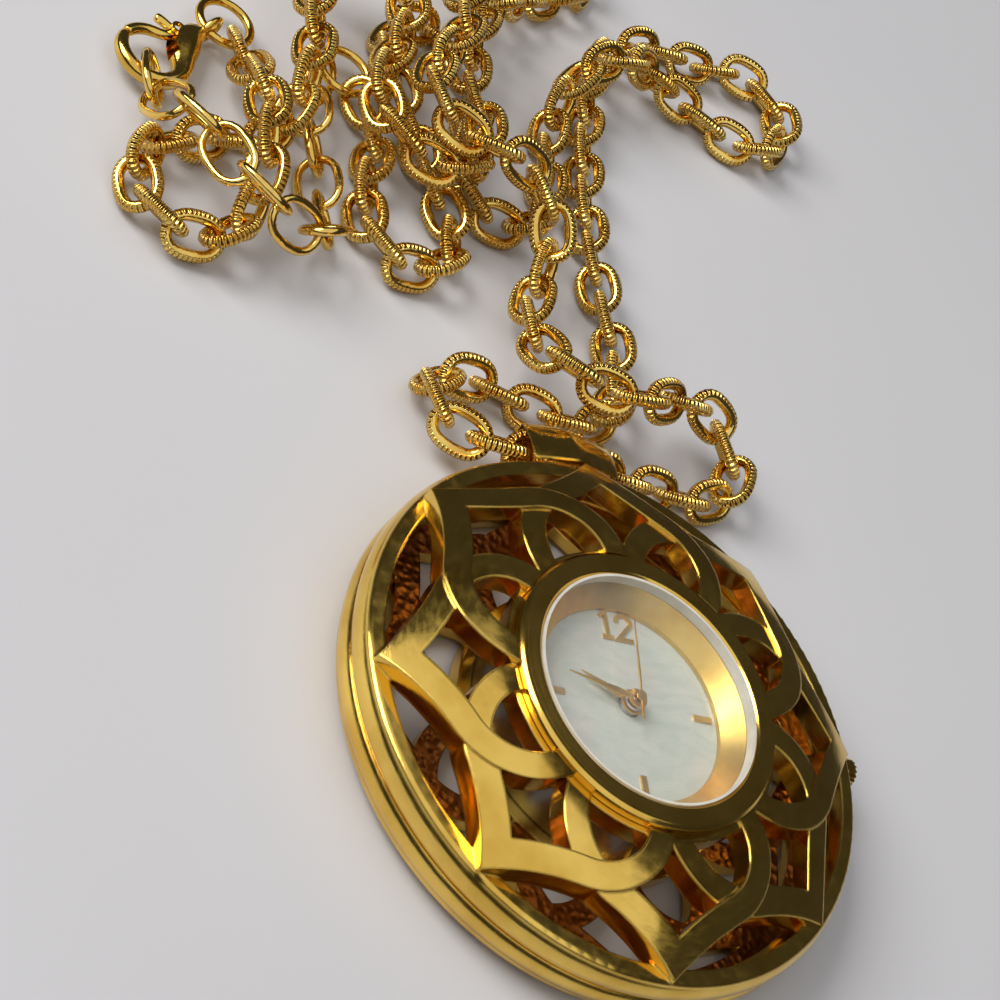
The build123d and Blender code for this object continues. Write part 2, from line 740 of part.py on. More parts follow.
def step_wheel():
    x, y = step_place()
    turn = mesh_turn(pinion_teeth, step_wheel_angle, second_wheel_teeth, 0.0)
    body = wheel(step_wheel_teeth, step_wheel_module, step_wheel_height, wheel_thickness, hub_radius / 2)
    pinion_bottom = step_wheel_height + wheel_thickness
    body += gear(pinion_teeth, second_wheel_module, pinion_bottom, pinion_height, turn)
    body += cyl(arbor_radius, arbor_bottom(), arbor_top())
    return Pos(x, y, 0) * body


def rotor():
    x, y = rotor_place()
    turn = mesh_turn(pinion_teeth, rotor_angle, step_wheel_teeth, 0.0)
    pinion_bottom = step_wheel_height - wheel_thickness / 2
    body = gear(pinion_teeth, step_wheel_module, pinion_bottom, rotor_height - pinion_bottom, turn)
    body += cyl(rotor_radius, rotor_height, rotor_height + rotor_depth)
    body += cyl(arbor_radius, arbor_bottom(), arbor_top())
    return Pos(x, y, 0) * body


def cannon_pinion():
    bottom = centre_wheel_height - slide_gap
    body = gear(cannon_teeth, motion_module, cannon_pinion_height, cannon_pinion_depth)
    body += cyl(cannon_radius, bottom, minute_hand_height + hand_thickness)
    return body - cyl(cannon_bore, bottom - overrun, minute_hand_height + hand_thickness + overrun)


def minute_wheel():
    x, y = motion_place()
    turn = mesh_turn(motion_teeth, motion_angle, cannon_teeth, 0.0)
    pinion_bottom = motion_height + wheel_thickness
    pinion_top = hour_wheel_height + wheel_thickness + slide_gap
    body = wheel(motion_teeth, motion_module, motion_height, wheel_thickness, hub_radius / 2, turn)
    body += gear(motion_pinion_teeth, hour_module, pinion_bottom, pinion_top - pinion_bottom)
    body -= cyl(post_radius + turn_gap, motion_height - overrun, pinion_top + overrun)
    return Pos(x, y, 0) * body


def hour_wheel():
    turn = mesh_turn(hour_teeth, motion_angle + 180.0, motion_pinion_teeth, 0.0)
    body = wheel(hour_teeth, hour_module, hour_wheel_height, wheel_thickness, hub_radius, turn)
    pipe_top = hour_hand_height + hand_thickness
    body += cyl(pipe_radius, hour_wheel_height, pipe_top)
    return body - cyl(pipe_bore, hour_wheel_height - overrun, pipe_top + overrun)


# Movement plates, motor and circuit

def wheel_places():
    """Places of the arbors that turn in the plate and the bridge."""
    return third_place(), step_place(), rotor_place()


def main_plate():
    top = plate_bottom + plate_thickness
    body = cyl(plate_radius, plate_bottom, top)
    body -= cyl(cannon_radius + turn_gap, plate_bottom - overrun, top + overrun)
    for x, y in wheel_places():
        body -= cyl(arbor_radius + turn_gap, plate_bottom - overrun, arbor_top() + turn_gap, x, y)
    for angle in pillar_angles:
        x, y = polar(pillar_distance, angle)
        pillar = cyl(pillar_radius, bridge_bottom + bridge_thickness, plate_bottom, x, y)
        body += pillar
        screw_top = bridge_bottom + bridge_thickness + pillar_radius + overrun
        body -= cyl(screw_shank_radius, bridge_bottom, screw_top, x, y)
    x, y = motion_place()
    return body + cyl(post_radius, top, hour_wheel_height + wheel_thickness, x, y)


def train_bridge():
    top = bridge_bottom + bridge_thickness
    body = cyl(bridge_radius, bridge_bottom, top)
    x, y = polar(battery_distance, battery_angle)
    body -= cyl(battery_radius + slide_gap, bridge_bottom - overrun, top + overrun, x, y)
    for x, y in wheel_places():
        body -= cyl(arbor_radius + turn_gap, bridge_bottom - overrun, top + overrun, x, y)
    body -= cyl(second_arbor_radius + turn_gap, bridge_bottom - overrun, top + overrun)
    for angle in pillar_angles:
        x, y = polar(pillar_distance, angle)
        body -= cyl(screw_shank_radius + slide_gap, bridge_bottom - overrun, top + overrun, x, y)
    return body


def movement_screws():
    screws = []
    for angle in pillar_angles:
        x, y = polar(pillar_distance, angle)
        head_bottom = bridge_bottom - screw_head_height
        screw = cyl(screw_head_radius, head_bottom, bridge_bottom, x, y)
        shank_top = bridge_bottom + bridge_thickness + pillar_radius
        screw += cyl(screw_shank_radius, bridge_bottom, shank_top, x, y)
        slot = block(-screw_head_radius, screw_head_radius, -screw_slot_width / 2, screw_slot_width / 2,
                     head_bottom, head_bottom + screw_slot_depth)
        screws.append(screw - Pos(x, y, 0) * slot)
    return screws


def movement_holder():
    top = dial_top - dial_thickness
    body = ring(tube_radius - tube_wall - slide_gap, holder_bore, holder_bottom, top)
    body -= rod_x(stem_radius + slide_gap, holder_bore - overrun, tube_radius)
    inner = crown_tube_radius + slide_gap
    return body - rod_x(inner, (holder_bore + tube_radius - tube_wall) / 2, tube_radius)


def stator():
    """Soft iron plate round the rotor, with legs to the coil's core."""
    x, y = rotor_place()
    top = stator_bottom + stator_thickness
    body = cyl(stator_ring_radius, stator_bottom, top, x, y)
    low = core_y + core_width / 2
    body += block(core_left, core_left + leg_width, low, y, stator_bottom, top)
    strip_low = core_y + coil_radius + leg_width / 2
    body += block(x, core_right, strip_low, strip_low + leg_width, stator_bottom, top)
    body += block(core_right - leg_width, core_right, low, strip_low + leg_width, stator_bottom, top)
    return body - cyl(stator_hole, stator_bottom - overrun, top + overrun, x, y)


def coil_core():
    top = stator_bottom + stator_thickness
    half = core_width / 2
    return block(core_left, core_right, core_y - half, core_y + half, stator_bottom, top)


def coil():
    left = core_left + leg_width + coil_inset
    right = core_right - leg_width - coil_inset
    middle = stator_bottom + stator_thickness / 2
    body = rod_x(coil_radius, left, right, core_y, middle)
    core = block(left - overrun, right + overrun, core_y - core_width / 2 - gasket_gap,
                 core_y + core_width / 2 + gasket_gap, stator_bottom - gasket_gap,
                 stator_bottom + stator_thickness + gasket_gap)
    return body - core


def battery():
    x, y = polar(battery_distance, battery_angle)
    top = battery_bottom + battery_height
    low = cyl(battery_radius - battery_rim, battery_bottom, battery_bottom + battery_step, x, y)
    return low + cyl(battery_radius, battery_bottom + battery_step, top, x, y)


def battery_clamp():
    """Spring strip across the battery, bearing on the bridge at both ends."""
    x, y = polar(battery_distance, battery_angle)
    bottom = bridge_bottom - clamp_thickness
    reach = battery_radius + pillar_radius
    strip = block(-reach, battery_radius - battery_rim, -clamp_width / 2, clamp_width / 2,
                  bottom, bridge_bottom)
    tongue = block(-battery_radius + battery_rim, battery_rim, -clamp_width / 4, clamp_width / 4,
                   bridge_bottom, battery_bottom)
    return Pos(x, y, 0) * Rot(0, 0, battery_angle) * (strip + tongue)


def circuit_board():
    top = board_bottom + board_thickness
    body = ring(board_outer, board_inner, board_bottom, top)
    wedge_points = [(0, 0)]
    steps = 4
    for number in range(steps + 1):
        angle = board_start + (board_end - board_start) * number / steps
        wedge_points.append(polar(2 * board_outer, angle))
    return body & raised(make_face([Polyline(*wedge_points, close=True)]), board_bottom, top)


def chip():
    x, y = polar(chip_distance, chip_angle)
    bottom = board_bottom + board_thickness
    body = block(-chip_size / 2, chip_size / 2, -chip_size / 2, chip_size / 2, bottom, bottom + chip_height)
    return Pos(x, y, 0) * Rot(0, 0, chip_angle) * body


def quartz_can():
    x, y = polar(quartz_distance, quartz_angle)
    height = board_bottom + board_thickness + quartz_radius
    body = rod_x(quartz_radius, -quartz_length / 2, quartz_length / 2, 0.0, 0.0)
    return Pos(x, y, height) * Rot(0, 0, quartz_angle + 90.0) * body


# Crown and stem

def crown():
    start = side_radius + crown_gap
    body = rod_x(crown_radius, start, start + crown_length)
    end = start + crown_length
    for number in range(crown_flutes):
        y, z = polar(crown_radius, number * 360.0 / crown_flutes)
        body -= rod_x(crown_flute_radius, start - overrun, end + overrun, y, seam_height + z)
    return body


def stem():
    end = side_radius + crown_gap
    body = rod_x(stem_radius, stem_start, end)
    groove_end = stem_groove_at + stem_groove_length
    sleeve = rod_x(stem_radius + overrun, stem_groove_at, groove_end)
    return body - (sleeve - rod_x(stem_groove_radius, stem_groove_at - overrun, groove_end + overrun))


def setting_yoke():
    """Plate whose fork sits in the stem's groove."""
    middle = stem_groove_at + stem_groove_length / 2
    body = block(middle - yoke_thickness / 2, middle + yoke_thickness / 2, -stem_groove_radius - turn_gap,
                 yoke_reach, seam_height - yoke_half_width, seam_height + yoke_half_width)
    slot = stem_groove_radius + turn_gap
    body -= rod_x(slot, stem_groove_at, stem_groove_at + stem_groove_length)
    cut = block(stem_groove_at, stem_groove_at + stem_groove_length, -stem_radius - overrun, 0,
                seam_height - slot, seam_height + slot)
    return body - cut


def crown_tube():
    start = (holder_bore + tube_radius - tube_wall) / 2 + slide_gap
    body = rod_x(crown_tube_radius, start, side_radius)
    return body - rod_x(crown_tube_bore, start - overrun, side_radius + overrun)


# Bail

def bail():
    """Loop with a gabled roof and two lobes, standing out of the rim at 12 o'clock."""
    def side_face(reach, half_height):
        top = (side_radius, bail_centre_height + half_height)
        bottom = (side_radius, bail_centre_height - half_height)
        root_top = (side_radius - bail_wall, bail_centre_height + half_height)
        root_bottom = (side_radius - bail_wall, bail_centre_height - half_height)
        arch = EllipticalCenterArc((side_radius, bail_centre_height), reach, half_height,
                                   start_angle=-90.0, arc_size=180.0)
        return Plane.YZ * make_face([arch, Polyline(top, root_top, root_bottom, bottom)])
    outer = side_face(bail_reach, bail_half_height)
    inner = side_face(bail_reach - bail_wall, bail_half_height - bail_wall)
    low = side_face(bail_reach - bail_gable, bail_half_height - bail_gable)
    roof = loft([outer, Pos(bail_half_width, 0, 0) * low], ruled=True)
    body = roof + mirror(roof, about=Plane.YZ)
    body -= extrude(inner, amount=bail_half_width + overrun, both=True)
    lobe_y = side_radius + bail_reach - bail_lobe_setback
    tall = bail_centre_height + bail_half_height + overrun
    plan = block(-bail_half_width, bail_half_width, side_radius - bail_wall, lobe_y, -overrun, tall)
    for side in (1, -1):
        plan += cyl(bail_lobe_radius, -overrun, tall, side * bail_lobe_centre, lobe_y)
    body &= plan
    return body - cyl(side_radius + gasket_gap, -overrun, tall)


# Clasp, built in its own frame and then laid on the table

def laid(shape):
    """A clasp piece moved from the clasp's frame to its place."""
    return Pos(clasp_x, clasp_y, clasp_height) * Rot(0, 0, clasp_angle) * shape


def sector(start, end, reach):
    """A pie slice between two angles, as a face."""
    middle = polar(reach / cos(radians((end - start) / 2)), (start + end) / 2)
    return make_face([Polyline((0, 0), polar(reach, start), middle, polar(reach, end), close=True)])


def rivet_hole(radius):
    return cyl(radius, -arm_thickness, arm_thickness, pivot_x, pivot_y)


def lever_reach():
    """Distance from the rivet to the lever's tip, which ends just inside the hook's tip."""
    tip_x, tip_y = polar(hook_bore, hook_tip_angle)
    return hypot(tip_x - pivot_x, tip_y - pivot_y) - lever_clearance


def clasp_body():
    half = hook_thickness / 2
    hook = ring(hook_radius, hook_bore, -half, half)
    mouth = raised(sector(hook_start_angle, hook_tip_angle, 2 * hook_radius), -arm_thickness, arm_thickness)
    hook -= mouth & cyl(lever_reach() + lever_clearance, -arm_thickness, arm_thickness, pivot_x, pivot_y)
    points = [(arm_start, arm_start_half), (arm_end, arm_end_half)]
    points += [(arm_end, -arm_end_half), (arm_start, -arm_start_half)]
    arm = raised(make_face([Polyline(*points, close=True)]), -arm_thickness / 2, arm_thickness / 2)
    arm = fillet(arm.edges().filter_by(Axis.Z, reverse=True), half / 2)
    arm -= cyl(hook_bore, -arm_thickness, arm_thickness)
    lug_align = (Align.CENTER, Align.CENTER, Align.CENTER)
    eye_place = Pos(eye_x, 0, 0) * Rot(90, 0, 0)
    body = hook + arm + eye_place * Cylinder(eye_radius, eye_thickness, align=lug_align)
    body -= eye_place * Cylinder(eye_bore, 2 * eye_thickness, align=lug_align)
    body -= block(slot_start, slot_end, slot_low, hook_radius, slot_bottom, slot_top)
    return laid(body - rivet_hole(rivet_radius + rivet_gap))


def clasp_lever():
    half = lever_half_thickness
    jaw = ring(hook_radius, hook_bore + lever_clearance, -half, half)
    jaw &= raised(sector(lever_start_angle, lever_end_angle, 2 * hook_radius), -half, half)
    jaw &= cyl(lever_reach(), -half, half, pivot_x, pivot_y)
    body = jaw + cyl(lever_tail_radius, -half, half, pivot_x, pivot_y)
    middle = (hook_radius + hook_bore) / 2
    start = polar(middle, lever_start_angle + lever_start_angle / 2)
    neck = trace([Line(start, (pivot_x, pivot_y))], line_width=2 * lever_neck_half)
    body += raised(neck, -half, half) + cyl(thumb_radius, -half, half, thumb_x, thumb_y)
    tab = trace([Line((thumb_x, thumb_y), (pivot_x, pivot_y))], line_width=2 * lever_neck_half)
    body += raised(tab, -half, half)
    return laid(body - rivet_hole(rivet_radius + rivet_gap))


def clasp_spring():
    """Flat coil round the rivet, beside the lever, with a leg along the slot."""
    bottom = lever_half_thickness + rivet_gap
    coil_ring = ring(spring_radius, spring_bore, bottom, bottom + spring_height, pivot_x, pivot_y)
    leg_low = pivot_y - spring_radius
    leg = block(pivot_x, pivot_x + spring_leg_length, leg_low, leg_low + spring_leg_width,
                bottom, bottom + spring_height)
    return laid(coil_ring + leg)


def clasp_rivet():
    half = arm_thickness / 2
    seat = half + rivet_gap
    rivet = cyl(rivet_radius, -seat, seat, pivot_x, pivot_y)
    rivet += cyl(rivet_head_radius, seat, seat + rivet_head_height, pivot_x, pivot_y)
    rivet += cyl(rivet_head_radius, -seat - rivet_head_height, -seat, pivot_x, pivot_y)
    return laid(rivet)


# Chain

def spline(points):
    """Points along a quadratic B-spline that starts and ends at its end points, each with its span."""
    spans = len(points) - 2
    walked = [(Vector(*points[0]), 0)]
    for span in range(spans):
        before, corner, after = (Vector(*point) for point in points[span:span + 3])
        start = before if span == 0 else (before + corner) / 2
        end = after if span == spans - 1 else (corner + after) / 2
        for number in range(1, walk_steps + 1):
            share = number / walk_steps
            point = start * (1 - share) ** 2 + corner * (2 * share * (1 - share)) + end * share ** 2
            walked.append((point, span))
    return walked


def stepped(walked, steps):
    """Points on the walked line at steps that repeat, each straight from the point before it."""
    last, span = walked[0]
    found = [(last, span)]
    before = last
    for point, span in walked[1:]:
        step = steps[(len(found) - 1) % len(steps)]
        while (point - last).length >= step:
            along, back = point - before, before - last
            reach = along.dot(back)
            square = along.dot(along)
            share = (sqrt(reach ** 2 - square * (back.dot(back) - step ** 2)) - reach) / square
            last = before + along * share
            found.append((last, span))
            before = last
            step = steps[(len(found) - 1) % len(steps)]
        before = point
    return found


def fitted_ends(points, body_length, reach):
    """Ends of the links' straight parts, with the play fitted so that the last one ends the route."""
    walked = spline(points)
    count = len(stepped(walked, (body_length, reach))) // 2
    least, most = reach, 2 * reach
    for _ in range(halvings):
        middle = (least + most) / 2
        if len(stepped(walked, (body_length, middle))) >= 2 * count:
            least = middle
        else:
            most = middle
    return stepped(walked, (body_length, least))[:2 * count], least


def link(wire, width, body_length):
    """One oval link along X, flat on the table's plane."""
    bend = (width - wire) / 2
    section = Plane.XZ * Pos(bend, 0) * Circle(wire / 2)
    end = Rot(0, 0, -90.0) * revolve(section, axis=Axis.Z, revolution_arc=180.0)
    end = Pos(body_length / 2, 0, 0) * end
    body = end + Rot(0, 0, 180.0) * end
    for side in (1, -1):
        body += rod_x(wire / 2, -body_length / 2, body_length / 2, side * bend, 0.0)
    return body


def laid_links(points, wire, width, length, play):
    """Links laid along a route, each with its route span, and the two ends of the chain's middle line."""
    body_length = length - width
    ends, reach = fitted_ends(points, body_length, width - 2 * wire - play)
    starts, stops = ends[0::2], ends[1::2]
    axes = [(stop[0] - start[0]).normalized() for start, stop in zip(starts, stops)]
    one = link(wire, width, body_length)
    laid_out = []
    for number, axis in enumerate(axes):
        side = Vector(-axis.Y, axis.X, 0).normalized()
        rise = axis.cross(side)
        before, after = axes[max(number - 1, 0)], axes[min(number + 1, len(axes) - 1)]
        bend_angle = atan2(before.X * after.Y - before.Y * after.X, before.X * after.X + before.Y * after.Y)
        turn = 1 if number % 2 == 0 else -1
        shift = reach / 2 * sin(bend_angle / 4)
        centre = (starts[number][0] + stops[number][0]) / 2 + rise * (turn * shift + abs(shift))
        roll = radians(link_roll)
        normal = rise * cos(roll) + side * (turn * sin(roll))
        place = Plane(origin=centre, x_dir=axis, z_dir=normal)
        laid_out.append((place.location * one, starts[number][1]))
    return laid_out, ends[0][0], ends[-1][0]


def first_ring_centre():
    """Centre of the jump ring at the clasp."""
    eye = (clasp_x + eye_x * cos(radians(clasp_angle)), clasp_y + eye_x * sin(radians(clasp_angle)))
    step_x, step_y = polar(ring_to_eye, clasp_angle)
    return eye[0] + step_x, eye[1] + step_y, clasp_height


def chain_points():
    """Control points of the knurled chain with the names of their stretches."""
    first = first_ring_centre()
    step_x, step_y = polar(ring_to_link, first_link_angle)
    points = [(first[0] + step_x, first[1] + step_y, low_z)]
    names = ["chain_side_pile"]
    for name, route in (("chain_side_pile", side_pile_route), ("chain_pile_middle", pile_middle_route),
                        ("chain_far_loop", far_loop_route), ("chain_pile_top", pile_top_route),
                        ("chain_left_strand", left_strand_route), ("chain_bail_run", bail_run_route),
                        ("chain_right_strand", right_strand_route), ("chain_right_loop", right_loop_route),
                        ("chain_pile_low", pile_low_route)):
        points += list(route)
        names += [name] * len(route)
    return points, names


def jump_ring(centre):
    hoop = revolve(Plane.XZ * Pos(ring_radius, 0) * Circle(ring_wire / 2), axis=Axis.Z)
    return Pos(*centre) * hoop


def write(name, solids):
    shape = Compound(children=list(solids)) if isinstance(solids, list) else solids
    export_step(shape, f"parts/{name}.step")


os.makedirs("parts", exist_ok=True)
for maker in (front_cover, back_cover, centre_case, case_back, case_back_gasket, bezel, crystal,
              crystal_gasket, dial_ring, dial, dial_numeral, dial_bars, hour_hand, minute_hand,
              second_hand, main_plate, train_bridge, movement_screws, movement_holder, stator,
              coil_core, coil, battery, battery_clamp, circuit_board, chip, quartz_can, rotor,
              step_wheel, seconds_wheel, third_wheel, centre_wheel, cannon_pinion, minute_wheel,
              hour_wheel, crown, stem, setting_yoke, crown_tube, bail, clasp_body, clasp_lever,
              clasp_spring, clasp_rivet):
    write(maker.__name__, maker())

route_points, stretch_names = chain_points()
chain_links, _, chain_end = laid_links(route_points, link_wire, link_width, link_length, link_play)
for name in dict.fromkeys(stretch_names):
    write(name, [shape for shape, span in chain_links if stretch_names[span + 1] == name])
away_x, away_y = polar(ring_to_link, last_ring_angle)
last_centre = (chain_end.X + away_x, chain_end.Y + away_y, low_z)
write("jump_rings", [jump_ring(first_ring_centre()), jump_ring(last_centre)])
leave_x, leave_y = polar(ring_to_extender, extender_angle)
extender_points = [(last_centre[0] + leave_x, last_centre[1] + leave_y, low_z)] + list(extender_route)
extender_links, _, _ = laid_links(extender_points, extender_wire, extender_width, extender_length,
                                  extender_play)
write("extender_chain", [shape for shape, _ in extender_links])
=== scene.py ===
from math import atan2, cos, hypot, pi, radians, sin, sqrt

import bmesh
import bpy
from mathutils import Matrix, Vector


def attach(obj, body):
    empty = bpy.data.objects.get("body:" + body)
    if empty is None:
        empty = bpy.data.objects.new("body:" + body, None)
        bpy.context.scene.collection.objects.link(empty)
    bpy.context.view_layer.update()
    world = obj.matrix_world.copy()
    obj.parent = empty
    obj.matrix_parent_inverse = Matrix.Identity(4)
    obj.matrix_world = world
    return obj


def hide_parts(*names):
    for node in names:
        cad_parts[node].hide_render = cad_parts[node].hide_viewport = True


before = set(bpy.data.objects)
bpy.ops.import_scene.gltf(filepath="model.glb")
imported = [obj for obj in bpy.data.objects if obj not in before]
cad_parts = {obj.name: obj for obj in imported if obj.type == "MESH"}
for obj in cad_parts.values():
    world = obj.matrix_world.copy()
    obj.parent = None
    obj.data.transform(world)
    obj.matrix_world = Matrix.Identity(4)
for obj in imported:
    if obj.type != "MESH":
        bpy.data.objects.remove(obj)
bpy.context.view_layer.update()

MM = 0.001
scene = bpy.context.scene


# Shader maths: a socket that can be added, multiplied and so on, and a graph that makes the nodes

class Sock:
    def __init__(self, graph, socket):
        self.graph, self.socket = graph, socket

    def maths(self, operation, *values):
        return self.graph.node("Math", dict(enumerate(values)), operation=operation)

    def __add__(self, other):
        return self.maths("ADD", self, other)

    def __sub__(self, other):
        return self.maths("SUBTRACT", self, other)

    def __mul__(self, other):
        return self.maths("MULTIPLY", self, other)

    def __pow__(self, other):
        return self.maths("POWER", self, other)

    def __rsub__(self, other):
        return self.maths("SUBTRACT", other, self)

    __radd__ = __add__
    __rmul__ = __mul__


class Graph:
    def __init__(self, name):
        self.material = bpy.data.materials.new(name)
        self.material.use_nodes = True
        self.tree = self.material.node_tree
        self.shader = self.tree.nodes["Principled BSDF"]

    def put(self, value, socket):
        if isinstance(value, Sock):
            self.tree.links.new(value.socket, socket)
        else:
            socket.default_value = value

    def node(self, kind, values=None, output=0, **settings):
        node = self.tree.nodes.new("ShaderNode" + kind)
        for key, value in settings.items():
            setattr(node, key, value)
        for key, value in (values or {}).items():
            self.put(value, node.inputs[key])
        return Sock(self, node.outputs[output])

    def place(self):
        return self.node("TexCoord", output="Object")

    def axes(self, vector):
        """The vector's x, y and z."""
        return [self.node("SeparateXYZ", {0: vector}, output=axis) for axis in "XYZ"]

    def noise(self, vector, scale, detail=2.0, output="Fac"):
        return self.node("TexNoise", {"Vector": vector, "Scale": scale, "Detail": detail}, output=output)

    def ramp(self, value, low, high):
        """0 at low and 1 at high, smooth between them."""
        values = {0: value, 1: low, 2: high, 3: 0.0, 4: 1.0}
        return self.node("MapRange", values, interpolation_type="SMOOTHSTEP")

    def mix(self, share, first, second):
        return self.node("Mix", {0: share, 6: first, 7: second}, output=2, data_type="RGBA")

    def bump(self, height, distance, strength=1.0, edge=0.0):
        """Bump of a real depth on the surface. An edge radius rounds the look of sharp corners."""
        values = {"Strength": strength, "Distance": distance, "Height": height}
        if edge:
            values["Normal"] = self.node("Bevel", {"Radius": edge}, samples=4)
        return self.node("Bump", values)

    def shade(self, **values):
        for key, value in values.items():
            self.put(value, self.shader.inputs[key.replace("_", " ")])
        return self.material


def rgb(red, green, blue):
    """An 8-bit screen colour as linear values."""
    def linear(value):
        value /= 255
        return value / 12.92 if value <= 0.04045 else ((value + 0.055) / 1.055) ** 2.4
    return (linear(red), linear(green), linear(blue), 1.0)


# Materials. Noise scales are in cycles per metre.

cast_edge = 0.3 * MM
turned_edge = 0.15 * MM
polish_depth = 0.012 * MM
turning_depth = 0.004 * MM
knurl_depth = 0.02 * MM
moulded_depth = 0.006 * MM
pearl_depth = 0.008 * MM
smear_depth = 0.002 * MM
floor_radius = 20.9 * MM
floor_height = 1.8 * MM
floor_fade = 0.1 * MM
pearl_warp = 4.0 * MM
winding_depth = 0.02 * MM
winding_rate = 62000.0  # radians per metre along the coil


def plated(name, bright, deep, rough, grain=1.0):
    """Polished plating with cloudy colour, fine wipe marks and faint orange peel."""
    g = Graph(name)
    at = g.place()
    cloud = g.noise(at, 260.0, 4.0)
    fine = g.noise(at, 2600.0 * grain, 3.0)
    stretched = g.node("Mapping", {0: at, "Scale": (1.0, 9.0, 3.0)})
    wipe = g.noise(stretched, 1500.0, 5.0)
    colour = g.mix(g.ramp(cloud, 0.35, 0.7), bright, deep)
    roughness = rough * (0.7 + 0.5 * g.ramp(wipe, 0.35, 0.75) + 0.25 * g.ramp(fine, 0.4, 0.8))
    height = fine * 0.4 + wipe * 0.5 + g.noise(at, 500.0, 1.0) * 2.0
    return g.shade(Base_Color=colour, Metallic=1.0, Roughness=roughness, Normal=g.bump(height, polish_depth))


def cover_gold(name, bright, deep, inner, rough):
    """The covers' plating: polished outside, pebbled and red-brown on the back cover's cast floor."""
    g = Graph(name)
    at = g.place()
    x, y, z = g.axes(at)
    radius = (x * x + y * y) ** 0.5
    cloud = g.noise(at, 200.0, 4.0)
    stretched = g.node("Mapping", {0: at, "Scale": (1.0, 1.0, 8.0)})
    wipe = g.noise(stretched, 900.0, 5.0)
    pebble = g.node("TexVoronoi", {"Vector": at, "Scale": 1500.0, "Smoothness": 0.6}, feature="SMOOTH_F1")
    normal_z = g.axes(g.node("NewGeometry", output="True Normal"))[2]
    floor = (g.ramp(radius, floor_radius, floor_radius - floor_fade)
             * g.ramp(z, floor_height + floor_fade, floor_height) * g.ramp(normal_z, 0.5, 0.7))
    colour = g.mix(g.ramp(cloud, 0.35, 0.7), bright, deep)
    colour = g.mix(floor, colour, inner)
    roughness = rough * (0.7 + 0.6 * g.ramp(wipe, 0.35, 0.75)) + floor * 0.22
    height = wipe * 0.5 + g.noise(at, 350.0, 1.0) * 3.0 + floor * pebble * 14.0
    return g.shade(Base_Color=colour, Metallic=1.0, Roughness=roughness,
                   Normal=g.bump(height, polish_depth, edge=cast_edge))


def knurled(name, bright, deep, ribs, rib_share):
    """Link plating with ribs pressed across the wire on its outer side, from the link's own UV. The grooves
    between the ribs are darkened with painted shade.
    """
    g = Graph(name)
    along, across, _ = g.axes(g.node("UVMap", uv_map="link"))
    at = g.place()
    wave = g.node("Math", {0: along * (2 * pi * ribs)}, operation="SINE")
    side = g.node("Math", {0: across * (2 * pi)}, operation="COSINE")
    on = g.ramp(side, 0.15, 0.5) * rib_share
    cloud = g.noise(at, 320.0, 3.0)
    fine = g.noise(at, 2400.0, 3.0)
    groove = on * (0.5 - 0.5 * wave)
    colour = g.mix(g.ramp(cloud, 0.35, 0.7), bright, deep)
    # Painted shade: the colour in the grooves between the ribs is mixed towards the deep colour.
    colour = g.mix(groove * 0.45, colour, deep)
    roughness = 0.12 + 0.12 * g.ramp(fine, 0.4, 0.8) + groove * 0.1
    height = on * wave * 5.0 + fine * 0.7
    return g.shade(Base_Color=colour, Metallic=1.0, Roughness=roughness, Normal=g.bump(height, knurl_depth))


def spun(name, bright, deep, rough, rings):
    """Turned or brushed metal with rings about the watch's axis."""
    g = Graph(name)
    at = g.place()
    x, y, _ = g.axes(at)
    radius = (x * x + y * y) ** 0.5
    band = g.node("TexNoise", {"W": radius, "Scale": rings, "Detail": 3.0}, output="Fac",
                  noise_dimensions="1D")
    cloud = g.noise(at, 300.0, 3.0)
    colour = g.mix(g.ramp(cloud, 0.3, 0.75), bright, deep)
    roughness = rough * (0.7 + 0.6 * band)
    return g.shade(Base_Color=colour, Metallic=1.0, Roughness=roughness,
                   Normal=g.bump(band, turning_depth, edge=turned_edge))


def plain(name, bright, deep, rough, scale=600.0, metallic=0.0):
    """Moulded, lacquered or fine grained surface."""
    g = Graph(name)
    at = g.place()
    cloud = g.noise(at, scale, 4.0)
    fine = g.noise(at, scale * 7.0, 2.0)
    colour = g.mix(g.ramp(cloud, 0.3, 0.75), bright, deep)
    roughness = rough * (0.75 + 0.5 * g.ramp(fine, 0.3, 0.8))
    return g.shade(Base_Color=colour, Metallic=metallic, Roughness=roughness,
                   Normal=g.bump(fine, moulded_depth))


def pearl(name):
    """Mother of pearl: pale wavy layers with faint green and pink sheen."""
    g = Graph(name)
    at = g.place()
    warp = g.noise(at, 140.0, 3.0, output="Color")
    shift = g.node("VectorMath", {0: warp, 1: (pearl_warp, pearl_warp, 0.0)}, operation="MULTIPLY")
    bent = g.node("VectorMath", {0: at, 1: shift}, operation="ADD")
    stretched = g.node("Mapping", {0: bent, "Rotation": (0.0, 0.0, 0.6), "Scale": (1.0, 3.2, 1.0)})
    layers = g.noise(stretched, 420.0, 4.0)
    patches = g.noise(bent, 230.0, 2.0)
    pale = g.mix(g.ramp(layers, 0.35, 0.68), rgb(204, 206, 194), rgb(184, 190, 178))
    sheen = g.mix(g.ramp(patches, 0.35, 0.7), rgb(188, 198, 188), rgb(208, 198, 190))
    colour = g.mix(0.45, pale, sheen)
    roughness = 0.24 + 0.14 * g.ramp(layers, 0.3, 0.7)
    return g.shade(Base_Color=colour, Roughness=roughness, Coat_Weight=0.5, Coat_Roughness=0.06,
                   Normal=g.bump(layers, pearl_depth))


def clear(name):
    """Crystal: nearly see-through, with faint smears."""
    g = Graph(name)
    at = g.place()
    smear = g.noise(at, 260.0, 4.0)
    alpha = 0.05 + 0.03 * g.ramp(smear, 0.45, 0.75)
    roughness = 0.02 + 0.03 * g.ramp(smear, 0.4, 0.8)
    return g.shade(Base_Color=rgb(240, 244, 244), Roughness=roughness, Alpha=alpha, Specular_IOR_Level=0.5,
                   Normal=g.bump(smear, smear_depth))


